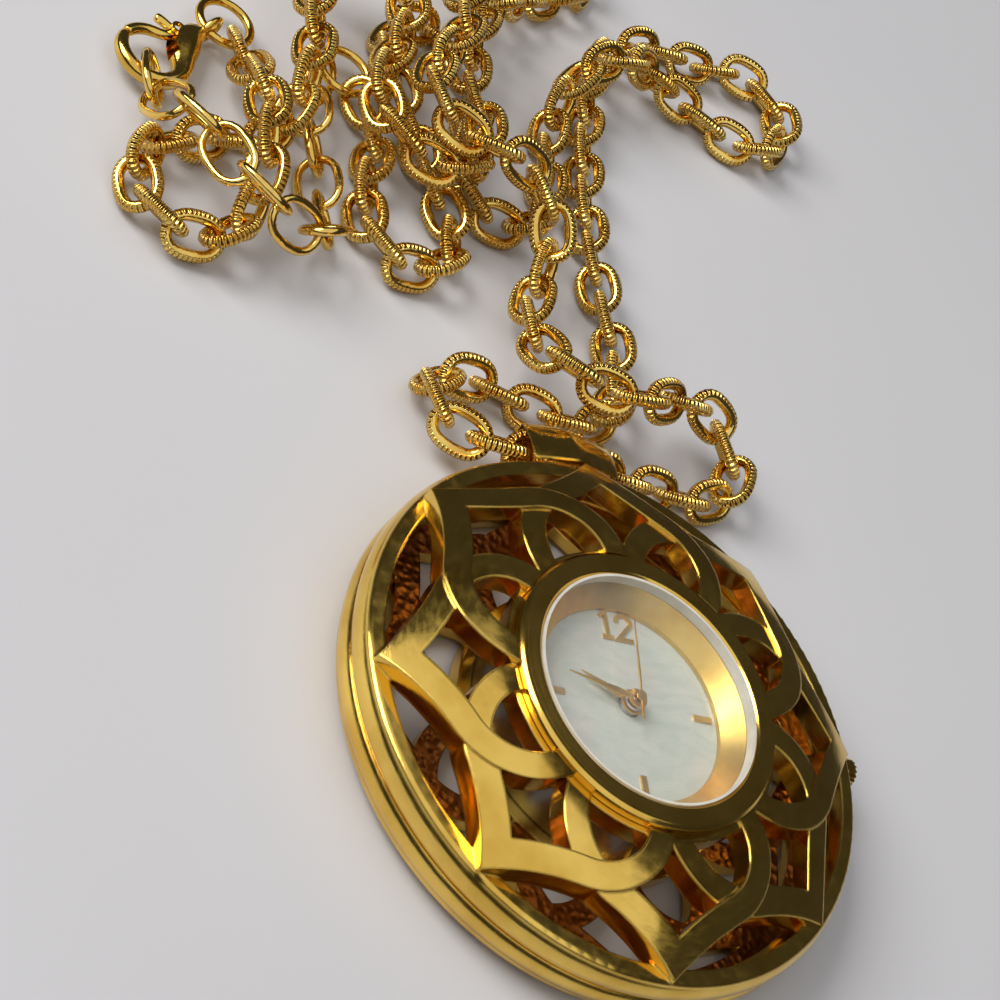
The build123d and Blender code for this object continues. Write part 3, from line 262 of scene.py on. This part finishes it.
def winding(name):
    """Enamelled wire wound round the coil's core, turn beside turn, with painted shade in the hollows between
    turns and a painted highlight on each turn's crest.
    """
    g = Graph(name)
    at = g.place()
    x, _, _ = g.axes(at)
    turn = g.node("Math", {0: x * winding_rate}, operation="SINE")
    # Painted shade and highlight: the colour runs from dark in the hollows between turns to light on each
    # turn's crest.
    colour = g.mix(g.ramp(turn, -1.0, 1.0), rgb(120, 52, 22), rgb(188, 98, 48))
    roughness = 0.3 + 0.05 * turn
    return g.shade(Base_Color=colour, Metallic=1.0, Roughness=roughness, Normal=g.bump(turn, winding_depth))


gold_bright = rgb(240, 202, 102)
gold_deep = rgb(220, 177, 78)
case_gold = cover_gold("case_gold", gold_bright, gold_deep, rgb(140, 84, 36), 0.15)
bezel_gold = spun("bezel_gold", gold_bright, gold_deep, 0.14, rings=9000.0)
chain_gold = knurled("chain_gold", rgb(247, 212, 118), rgb(216, 169, 76), ribs=34.0, rib_share=1.0)
extender_gold = knurled("extender_gold", rgb(247, 212, 118), rgb(222, 178, 86), ribs=12.0, rib_share=0.06)
clasp_gold = plated("clasp_gold", gold_bright, gold_deep, 0.13)
dial_gold = plated("dial_gold", rgb(236, 196, 104), rgb(214, 166, 74), 0.42, grain=2.0)
inner_ring_gold = spun("inner_ring_gold", rgb(232, 196, 104), rgb(210, 168, 76), 0.36, rings=14000.0)
steel = spun("steel", rgb(190, 190, 186), rgb(150, 150, 148), 0.3, rings=11000.0)
glass = clear("glass")
gasket = plain("gasket", rgb(222, 218, 206), rgb(206, 200, 186), 0.5)
pearl_dial = pearl("pearl_dial")
brass = spun("brass", rgb(214, 184, 118), rgb(190, 156, 88), 0.28, rings=16000.0)
white = plain("white", rgb(222, 220, 212), rgb(206, 204, 194), 0.45)
iron = plain("iron", rgb(150, 150, 152), rgb(118, 118, 122), 0.34, scale=900.0, metallic=1.0)
copper = winding("copper")
nickel = plain("nickel", rgb(196, 194, 188), rgb(168, 166, 160), 0.3, scale=500.0, metallic=1.0)
board = plain("board", rgb(30, 92, 52), rgb(22, 70, 40), 0.35)
epoxy = plain("epoxy", rgb(30, 30, 32), rgb(18, 18, 20), 0.5, scale=1500.0)

looks = {
    case_gold: ["front_cover", "back_cover", "bail"],
    bezel_gold: ["bezel"],
    clasp_gold: ["clasp_body", "clasp_lever", "clasp_spring", "clasp_rivet", "jump_rings", "crown"],
    dial_gold: ["dial_numeral", "dial_bars", "hour_hand", "minute_hand", "second_hand"],
    inner_ring_gold: ["dial_ring"],
    steel: ["centre_case", "case_back", "stem", "crown_tube", "movement_screws", "setting_yoke",
            "quartz_can"],
    glass: ["crystal"],
    gasket: ["crystal_gasket", "case_back_gasket"],
    pearl_dial: ["dial"],
    brass: ["main_plate", "train_bridge", "cannon_pinion", "centre_wheel", "third_wheel", "seconds_wheel"],
    white: ["movement_holder", "step_wheel", "minute_wheel", "hour_wheel"],
    iron: ["rotor", "stator", "coil_core"],
    copper: ["coil"],
    nickel: ["battery", "battery_clamp"],
    board: ["circuit_board"],
    epoxy: ["chip"],
}
for look, names in looks.items():
    for name in names:
        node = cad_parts[name]
        node.data.materials.clear()
        node.data.materials.append(look)


# Pieces that take the place of their nodes

def finished_piece(name, nodes, bm, body, look):
    """A piece that rides on a body and stands for its nodes."""
    for face in bm.faces:
        face.smooth = True
    mesh = bpy.data.meshes.new(name)
    bm.to_mesh(mesh)
    bm.free()
    mesh.materials.append(look)
    piece = bpy.data.objects.new(name, mesh)
    scene.collection.objects.link(piece)
    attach(piece, body)
    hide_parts(*nodes)


# Lobster clasp, drawn in its own frame in millimetres and then laid on the table. Its hook goes round the
# origin and its eye is at +X. A station on the hook is an angle in degrees and the bar's two half widths,
# and any other station is a place, a direction in degrees and the two half widths.

clasp_x, clasp_y, clasp_height = -33.3, 56.9, 1.7
clasp_angle = 42.0
hook_line = 2.8
eye_x, eye_line, eye_half = 7.6, 1.22, 0.36
bar_sides = 8
clasp_crease = 50.0
hook_stations = (
    (104.0, 0.42, 0.45), (110.0, 0.58, 0.58), (128.0, 0.68, 0.68), (150.0, 0.74, 0.74), (180.0, 0.78, 0.78),
    (210.0, 0.78, 0.78), (240.0, 0.8, 0.8), (270.0, 0.84, 0.84), (298.0, 0.98, 0.92))
shell_stations = (
    (2.45, -1.4, 46.0, 1.3, 1.08), (3.3, -0.65, 38.0, 1.66, 1.24), (4.2, -0.05, 24.0, 1.74, 1.3),
    (5.2, 0.2, 6.0, 1.42, 1.2), (6.1, 0.12, -2.0, 0.92, 0.92), (6.6, 0.05, 0.0, 0.6, 0.66))
lever_slot = ((0.6, -0.9, -0.5), (5.6, 3.5, 0.85))
jaw_stations = (
    (101.0, 0.4, 0.42), (98.0, 0.56, 0.5), (84.0, 0.6, 0.52), (66.0, 0.6, 0.52), (48.0, 0.58, 0.5),
    (32.0, 0.56, 0.46))
jaw_tail_stations = (
    (3.0, 1.05, -20.0, 0.6, 0.4), (3.7, 0.95, 0.0, 0.7, 0.4), (4.4, 1.0, 0.0, 0.6, 0.4))
thumb_stations = (
    (4.0, 1.1, 100.0, 0.5, 0.4), (3.85, 1.9, 104.0, 0.46, 0.42), (3.6, 2.7, 108.0, 0.56, 0.46),
    (3.5, 3.1, 108.0, 0.4, 0.36))


def on_arc(stations, way):
    """Stations on the hook's arc, as places and directions. The way is 1 anticlockwise and -1 clockwise."""
    return [(hook_line * cos(radians(angle)), hook_line * sin(radians(angle)), angle + way * 90.0, wide, tall)
            for angle, wide, tall in stations]


def station_frame(x, y, angle, wide, tall):
    """Matrix that lays the bar's round section at a station."""
    along = Vector((cos(radians(angle)), sin(radians(angle)), 0.0))
    across = Vector((-along.y, along.x, 0.0))
    section = Matrix((across * wide, Vector((0.0, 0.0, tall)), along)).transposed().to_4x4()
    return Matrix.Translation((x, y, 0.0)) @ section


def draw_bar(bm, stations):
    """A round bar drawn from station to station, closed at both ends."""
    frames = [station_frame(*station) for station in stations]
    before = len(bm.faces)
    verts = bmesh.ops.create_circle(bm, cap_ends=True, segments=bar_sides, radius=1.0)["verts"]
    bmesh.ops.transform(bm, matrix=frames[0], verts=verts)
    bm.faces.ensure_lookup_table()
    end = bm.faces[before]
    start = end
    for first, second in zip(frames, frames[1:]):
        drawn = bmesh.ops.extrude_face_region(bm, geom=[end])["geom"]
        if end is not start:
            bmesh.ops.delete(bm, geom=[end], context="FACES_ONLY")
        verts = [part for part in drawn if isinstance(part, bmesh.types.BMVert)]
        end = next(part for part in drawn if isinstance(part, bmesh.types.BMFace))
        bmesh.ops.transform(bm, matrix=second @ first.inverted(), verts=verts)


def smoothed(bm, cut=None):
    """The subdivided mesh, with a cut taken out of it where one is given."""
    bmesh.ops.recalc_face_normals(bm, faces=bm.faces)
    mesh = bpy.data.meshes.new("casting")
    bm.to_mesh(mesh)
    bm.free()
    holder = bpy.data.objects.new("casting", mesh)
    scene.collection.objects.link(holder)
    round_off = holder.modifiers.new("round", "SUBSURF")
    round_off.levels = round_off.render_levels = 2
    helpers = [holder]
    if cut:
        low, high = cut
        tool = bmesh.new()
        bmesh.ops.create_cube(tool, size=1.0)
        bmesh.ops.scale(tool, vec=Vector(high) - Vector(low), verts=tool.verts)
        bmesh.ops.translate(tool, vec=(Vector(low) + Vector(high)) / 2, verts=tool.verts)
        tool_mesh = bpy.data.meshes.new("slot")
        tool.to_mesh(tool_mesh)
        tool.free()
        cutter = bpy.data.objects.new("slot", tool_mesh)
        scene.collection.objects.link(cutter)
        helpers.append(cutter)
        slot = holder.modifiers.new("slot", "BOOLEAN")
        slot.operation = "DIFFERENCE"
        slot.object = cutter
    bpy.context.view_layer.update()
    result = bpy.data.meshes.new_from_object(holder.evaluated_get(bpy.context.evaluated_depsgraph_get()))
    for helper in helpers:
        bpy.data.objects.remove(helper)
    final = bmesh.new()
    final.from_mesh(result)
    return final


def lay_down(bm):
    """Moves a clasp piece from its own frame to its place on the table."""
    place = Matrix.Translation((clasp_x * MM, clasp_y * MM, clasp_height * MM))
    turn = Matrix.Rotation(radians(clasp_angle), 4, "Z")
    bmesh.ops.transform(bm, matrix=place @ turn @ Matrix.Scale(MM, 4), verts=bm.verts)
    for line in bm.edges:
        line.smooth = line.calc_face_angle(0) < radians(clasp_crease)
    return bm


claw = bmesh.new()
draw_bar(claw, on_arc(hook_stations, 1) + list(shell_stations))
eye_ring = bmesh.ops.create_circle(claw, segments=6, radius=eye_half)["verts"]
bmesh.ops.translate(claw, verts=eye_ring, vec=(eye_x + eye_line, 0.0, 0.0))
eye_edges = list({line for vert in eye_ring for line in vert.link_edges})
bmesh.ops.spin(claw, geom=eye_ring + eye_edges, cent=(eye_x, 0.0, 0.0), axis=(0.0, 1.0, 0.0),
               dvec=(0.0, 0.0, 0.0), angle=2 * pi, steps=14, use_merge=True, use_duplicate=False)
claw = lay_down(smoothed(claw, lever_slot))
finished_piece("clasp_claw", ["clasp_body", "clasp_rivet"], claw, "watch_and_chain", clasp_gold)
jaw = bmesh.new()
draw_bar(jaw, on_arc(jaw_stations, -1) + list(jaw_tail_stations))
draw_bar(jaw, thumb_stations)
jaw = lay_down(smoothed(jaw))
finished_piece("clasp_jaw", ["clasp_lever"], jaw, "lever", clasp_gold)


# Chain routes, as control points in millimetres, the same as the solids follow

low, mid, top = 1.75, 5.6, 9.45
side_pile_route = (
    (-25.0, 57.6, 3.0), (-25.6, 53.4, 5.9), (-25.4, 49.0, 6.2), (-25.3, 44.0, 3.6),
    (-27.6, 39.2, 2.1), (-32.0, 38.0, 2.0), (-35.6, 40.6, 1.9), (-35.8, 45.0, 1.9),
    (-32.6, 48.0, low), (-28.6, 49.6, low), (-24.4, 50.4, low), (-21.7, 53.0, 3.4),
    (-20.4, 57.6, 5.8))
pile_middle_route = (
    (-19.6, 62.4, mid), (-19.2, 66.8, mid), (-17.8, 71.2, mid), (-13.8, 73.8, mid),
    (-10.2, 71.4, mid), (-9.6, 66.8, mid), (-12.0, 62.0, mid), (-14.4, 57.2, mid),
    (-12.8, 52.4, mid), (-8.4, 50.2, mid), (-4.4, 52.4, mid), (-3.2, 57.0, mid),
    (-4.2, 61.6, mid), (-3.6, 66.2, mid), (-1.6, 70.6, mid))
far_loop_route = (
    (1.5, 74.6, 5.2), (5.0, 77.8, 2.9), (8.8, 80.6, low), (13.2, 82.6, low),
    (15.8, 86.4, low), (13.8, 90.8, low), (8.8, 91.8, low), (5.0, 88.5, low),
    (2.6, 84.8, low), (0.4, 81.0, 2.0), (-2.0, 77.6, 3.8), (-4.4, 74.2, 6.4),
    (-5.4, 70.0, 8.6))
pile_top_route = (
    (-6.0, 65.6, top), (-8.0, 61.4, top), (-11.2, 57.6, top), (-11.0, 53.0, top),
    (-6.8, 50.6, top), (-2.5, 50.7, 9.3), (1.0, 49.2, 7.0))
left_strand_route = (
    (2.2, 45.4, 4.8), (0.6, 41.4, 3.0), (-0.5, 37.6, 3.2), (-0.2, 34.0, 4.9),
    (2.6, 31.3, 6.1), (6.2, 30.3, 6.3), (10.0, 31.2, 6.1), (13.6, 33.0, 5.2),
    (17.6, 32.9, 3.8), (20.2, 29.6, 2.4), (18.7, 25.9, low))
bail_run_route = (
    (14.6, 24.9, low), (10.2, 25.0, 2.2), (5.2, 24.35, 3.4), (0.0, 24.3, 3.4),
    (-4.8, 24.35, 3.4), (-8.9, 24.7, 3.1), (-11.6, 27.7, 2.5), (-9.6, 31.4, 2.0),
    (-4.9, 31.8, low), (0.6, 30.0, low), (4.2, 29.8, low), (7.4, 31.2, low))
right_strand_route = (
    (9.0, 34.6, low), (9.8, 39.0, low), (9.5, 44.0, low), (9.2, 50.0, low),
    (9.6, 56.0, low), (10.6, 62.5, low), (12.0, 68.5, low), (13.8, 74.0, low))
right_loop_route = (
    (17.6, 78.0, low), (22.6, 79.8, low), (27.6, 79.2, low), (32.6, 80.6, low),
    (37.0, 77.6, low), (36.6, 72.2, low), (32.0, 69.6, low), (27.4, 71.4, low),
    (23.4, 73.8, low), (19.4, 73.8, 3.6), (15.4, 72.2, 5.6), (11.0, 70.2, 5.6),
    (8.0, 67.0, 3.6), (6.6, 62.6, low), (5.8, 57.8, low))
pile_low_route = (
    (4.8, 52.8, low), (1.2, 49.6, low), (-3.2, 50.8, low), (-4.2, 55.2, low),
    (-2.0, 60.0, low), (-0.4, 65.6, low), (-2.6, 70.4, low), (-7.4, 71.2, low),
    (-10.2, 67.2, low), (-9.2, 62.4, low), (-7.8, 57.6, low), (-7.4, 52.6, low),
    (-5.4, 47.8, low), (-6.8, 43.2, low), (-11.4, 41.4, low), (-14.6, 44.4, low),
    (-14.4, 48.8, low), (-12.8, 53.0, low), (-12.2, 57.0, low), (-13.3, 60.1, low))
CHAIN_ROUTE = (side_pile_route + pile_middle_route + far_loop_route + pile_top_route + left_strand_route
               + bail_run_route + right_strand_route + right_loop_route + pile_low_route)
EXTENDER_ROUTE = (
    (-18.8, 58.6, low), (-18.7, 54.0, low), (-18.8, 47.0, low), (-18.7, 43.8, 1.9),
    (-20.0, 40.8, 3.2), (-23.0, 39.2, 5.2), (-26.6, 40.3, 6.3), (-29.2, 42.8, 6.3),
    (-30.6, 45.8, 6.1), (-32.2, 48.0, 6.0), (-33.6, 50.6, 3.5), (-33.8, 52.9, 1.6),
    (-33.5, 54.85, 1.6))

ring_to_eye, ring_to_link, ring_to_extender = 2.15, 2.6, 2.85
first_link_angle, last_ring_angle, extender_angle = -64.5, 118.0, -148.0

# A link's sizes: the middles of its two bends are apart by its body, the wire's line goes round them at its
# bend, and the gap lies between one link's body and the next one's.

link_body, link_gap, link_bend, link_wire = 1.7 * MM, 1.6 * MM, 1.5 * MM, 1.2 * MM
smooth_body, smooth_gap, smooth_bend, smooth_wire = 1.8 * MM, 2.1 * MM, 1.725 * MM, 0.85 * MM

# Subdivision draws a coarse circle in to these shares of its radius.

bend_share, wire_share = 0.952, 0.735


def spline_points(name, route):
    """Points that the route's own smooth line gives, in metres."""
    curve = bpy.data.curves.new(name, "CURVE")
    curve.dimensions = "3D"
    spline = curve.splines.new("NURBS")
    spline.points.add(len(route) - 1)
    for point, place in zip(spline.points, route):
        point.co = (place[0] * MM, place[1] * MM, place[2] * MM, 1.0)
    spline.order_u = 3
    spline.use_endpoint_u = True
    spline.resolution_u = 24
    holder = bpy.data.objects.new(name, curve)
    scene.collection.objects.link(holder)
    bpy.context.view_layer.update()
    mesh = bpy.data.meshes.new_from_object(holder.evaluated_get(bpy.context.evaluated_depsgraph_get()))
    points = [vertex.co.copy() for vertex in mesh.vertices]
    bpy.data.objects.remove(holder)
    bpy.data.meshes.remove(mesh)
    return points


def stepped(points, steps):
    """Points on the line at steps that repeat, each straight from the point before it."""
    last = before = points[0]
    found = [last]
    for point in points[1:]:
        step = steps[(len(found) - 1) % 2]
        while (point - last).length >= step:
            along, back = point - before, before - last
            reach, square = along.dot(back), along.dot(along)
            share = (sqrt(reach ** 2 - square * (back.dot(back) - step ** 2)) - reach) / square
            last = before + along * share
            found.append(last)
            before = last
            step = steps[(len(found) - 1) % 2]
        before = point
    return found


def fitted(points, body, gap):
    """Ends of the links' straight parts, with the play fitted so that the last one ends the line."""
    count = len(stepped(points, (body, gap))) // 2
    least, most = gap, 2 * gap
    for _ in range(20):
        middle = (least + most) / 2
        if len(stepped(points, (body, middle))) >= 2 * count:
            least = middle
        else:
            most = middle
    return stepped(points, (body, least))[:2 * count], least


def link_places(points, body, gap):
    """Middle, direction and plane normal of each link, rolled to one side and the other in turn."""
    ends, gap = fitted(points, body, gap)
    starts, stops = ends[0::2], ends[1::2]
    axes = [(stop - start).normalized() for start, stop in zip(starts, stops)]
    places = []
    for number, axis in enumerate(axes):
        side = Vector((-axis.y, axis.x, 0.0)).normalized()
        rise = axis.cross(side)
        before, after = axes[max(number - 1, 0)], axes[min(number + 1, len(axes) - 1)]
        bend = atan2(before.x * after.y - before.y * after.x, before.x * after.x + before.y * after.y)
        turn = 1 if number % 2 == 0 else -1
        shift = gap / 2 * sin(bend / 4)
        centre = (starts[number] + stops[number]) / 2 + rise * (turn * shift + abs(shift))
        normal = (rise + side * turn).normalized()
        places.append((centre, axis, normal))
    return places, ends


def link_place(point, bend, half):
    """How far along the wire's oval a point lies, and how far round the wire, both as shares of a turn."""
    arc = pi * bend
    total = 2 * arc + 4 * half
    x, y, z = point
    if abs(x) > half:
        over = abs(x) - half
        angle = atan2(y, over) if x > 0 else atan2(-y, over)
        along = bend * (angle + pi / 2) + (0 if x > 0 else arc + 2 * half)
        out = hypot(over, y) - bend
    else:
        along = arc + half - x if y > 0 else 2 * arc + 3 * half + x
        out = abs(y) - bend
    return along / total, atan2(z, out) / (2 * pi)


def near(value, middle):
    """The value moved by whole turns until it lies next to the middle."""
    return value - round(value - middle)


def link_mesh(body, bend, wire):
    """One link: a wire spun round both ends of an oval, with UV along and around it."""
    half = body / 2
    wide = bend / bend_share
    bm = bmesh.new()
    bmesh.ops.create_circle(bm, segments=4, radius=wire / 2 / wire_share)
    bmesh.ops.rotate(bm, verts=bm.verts, cent=(0, 0, 0), matrix=Matrix.Rotation(pi / 2, 3, "Y"))
    bmesh.ops.translate(bm, verts=bm.verts, vec=(half, -wide, 0))
    edge = bm.verts[:] + bm.edges[:]
    for side in (1, -1):
        spun_end = bmesh.ops.spin(bm, geom=edge, cent=(side * half, 0, 0), axis=(0, 0, 1), dvec=(0, 0, 0),
                                  angle=pi, steps=5, use_merge=False, use_duplicate=False)
        rim = [part for part in spun_end["geom_last"] if isinstance(part, bmesh.types.BMEdge)]
        drawn = bmesh.ops.extrude_edge_only(bm, edges=rim)["geom"]
        bmesh.ops.translate(bm, verts=[part for part in drawn if isinstance(part, bmesh.types.BMVert)],
                            vec=(-side * body, 0, 0))
        edge = [part for part in drawn if not isinstance(part, bmesh.types.BMFace)]
    bmesh.ops.remove_doubles(bm, verts=bm.verts, dist=wire / 100)
    bmesh.ops.recalc_face_normals(bm, faces=bm.faces)
    uv = bm.loops.layers.uv.new("link")
    for face in bm.faces:
        face.smooth = True
        middle = link_place(face.calc_center_median(), wide, half)
        for loop in face.loops:
            place = link_place(loop.vert.co, wide, half)
            loop[uv].uv = (near(place[0], middle[0]), near(place[1], middle[1]))
    mesh = bpy.data.meshes.new("link")
    bm.to_mesh(mesh)
    bm.free()
    return mesh


def chain_piece(name, places, body, bend, wire, material):
    """All links of a chain as one piece."""
    one = link_mesh(body, bend, wire)
    bm = bmesh.new()
    for centre, axis, normal in places:
        start = len(bm.verts)
        bm.from_mesh(one)
        bm.verts.ensure_lookup_table()
        turn = Matrix((axis, normal.cross(axis), normal)).transposed().to_4x4()
        bmesh.ops.transform(bm, matrix=Matrix.Translation(centre) @ turn, verts=bm.verts[start:])
    mesh = bpy.data.meshes.new(name)
    bm.to_mesh(mesh)
    bm.free()
    mesh.materials.append(material)
    piece = bpy.data.objects.new(name, mesh)
    scene.collection.objects.link(piece)
    smooth = piece.modifiers.new("smooth", "SUBSURF")
    smooth.levels = smooth.render_levels = 1
    return piece


def turned(distance, angle):
    """The step of that distance in that direction, in degrees."""
    return distance * cos(radians(angle)), distance * sin(radians(angle))


eye = Vector((clasp_x, clasp_y)) + Vector(turned(eye_x, clasp_angle))
first_ring = eye + Vector(turned(ring_to_eye, clasp_angle))
chain_start = first_ring + Vector(turned(ring_to_link, first_link_angle))
chain_line = spline_points("chain_line", ((*chain_start, low),) + CHAIN_ROUTE)
places, ends = link_places(chain_line, link_body, link_gap)
chain = chain_piece("chain", places, link_body, link_bend, link_wire, chain_gold)
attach(chain, "watch_and_chain")
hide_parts(*[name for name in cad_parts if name.startswith("chain_")])

last_ring = Vector((ends[-1].x, ends[-1].y)) / MM + Vector(turned(ring_to_link, last_ring_angle))
extender_start = last_ring + Vector(turned(ring_to_extender, extender_angle))
extender_line = spline_points("extender_line", ((*extender_start, low),) + EXTENDER_ROUTE)
places, ends = link_places(extender_line, smooth_body, smooth_gap)
extender = chain_piece("extender", places, smooth_body, smooth_bend, smooth_wire, extender_gold)
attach(extender, "watch_and_chain")
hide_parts("extender_chain")


# Stage, light and camera

def table_top(name):
    """Pale matt board with a faint grain."""
    g = Graph(name)
    at = g.place()
    cloud = g.noise(at, 6.0, 4.0)
    grain = g.noise(at, 900.0, 3.0)
    colour = g.mix(g.ramp(cloud, 0.3, 0.7), rgb(209, 208, 210), rgb(203, 202, 205))
    roughness = 0.5 + 0.1 * grain
    return g.shade(Base_Color=colour, Roughness=roughness, Normal=g.bump(grain, table_depth, strength=0.3))


table_half = 2.0
table_depth = 0.01 * MM
flat = bmesh.new()
bmesh.ops.create_grid(flat, x_segments=1, y_segments=1, size=table_half)
mesh = bpy.data.meshes.new("table")
flat.to_mesh(mesh)
flat.free()
mesh.materials.append(table_top("table_top"))
table = bpy.data.objects.new("table", mesh)
scene.collection.objects.link(table)


def area(name, place, target, size, power, colour=(1.0, 1.0, 1.0)):
    """A rectangular lamp that faces its target."""
    light = bpy.data.lights.new(name, "AREA")
    light.shape = "RECTANGLE"
    light.size, light.size_y = size
    light.energy = power
    light.color = colour
    lamp = bpy.data.objects.new(name, light)
    lamp.location = place
    lamp.rotation_euler = (Vector(target) - Vector(place)).to_track_quat("-Z", "Y").to_euler()
    scene.collection.objects.link(lamp)


area("window", place=(-0.62, 0.30, 0.55), target=(0.0, 0.03, 0.0), size=(0.5, 0.5), power=6.8,
     colour=(1.0, 0.99, 0.975))
area("ceiling", place=(-0.55, -0.55, 1.0), target=(-0.55, -0.55, 0.0), size=(2.4, 2.4), power=13.8)

world = bpy.data.worlds.new("world")
world.use_nodes = True
background = world.node_tree.nodes["Background"].inputs
background["Color"].default_value = (0.045, 0.044, 0.045, 1.0)
background["Strength"].default_value = 1.0
scene.world = world
scene.view_settings.view_transform = "Standard"

# The camera's place and axes, as fitted to the photograph

camera_place = Vector((-0.11225, -0.09068, 0.13849))
right = Vector((0.82928, -0.13175, 0.54308))
down = Vector((0.20516, -0.83218, -0.51516))
forward = Vector((0.51982, 0.53863, -0.66308))
camera_data = bpy.data.cameras.new("camera")
camera_data.sensor_width = 36.0
camera_data.lens = 93.6
camera_data.clip_start = 10.0 * MM
camera = bpy.data.objects.new("camera", camera_data)
turn = Matrix((right, -down, -forward)).transposed()
camera.matrix_world = Matrix.Translation(camera_place) @ turn.to_4x4()
scene.collection.objects.link(camera)
scene.camera = camera
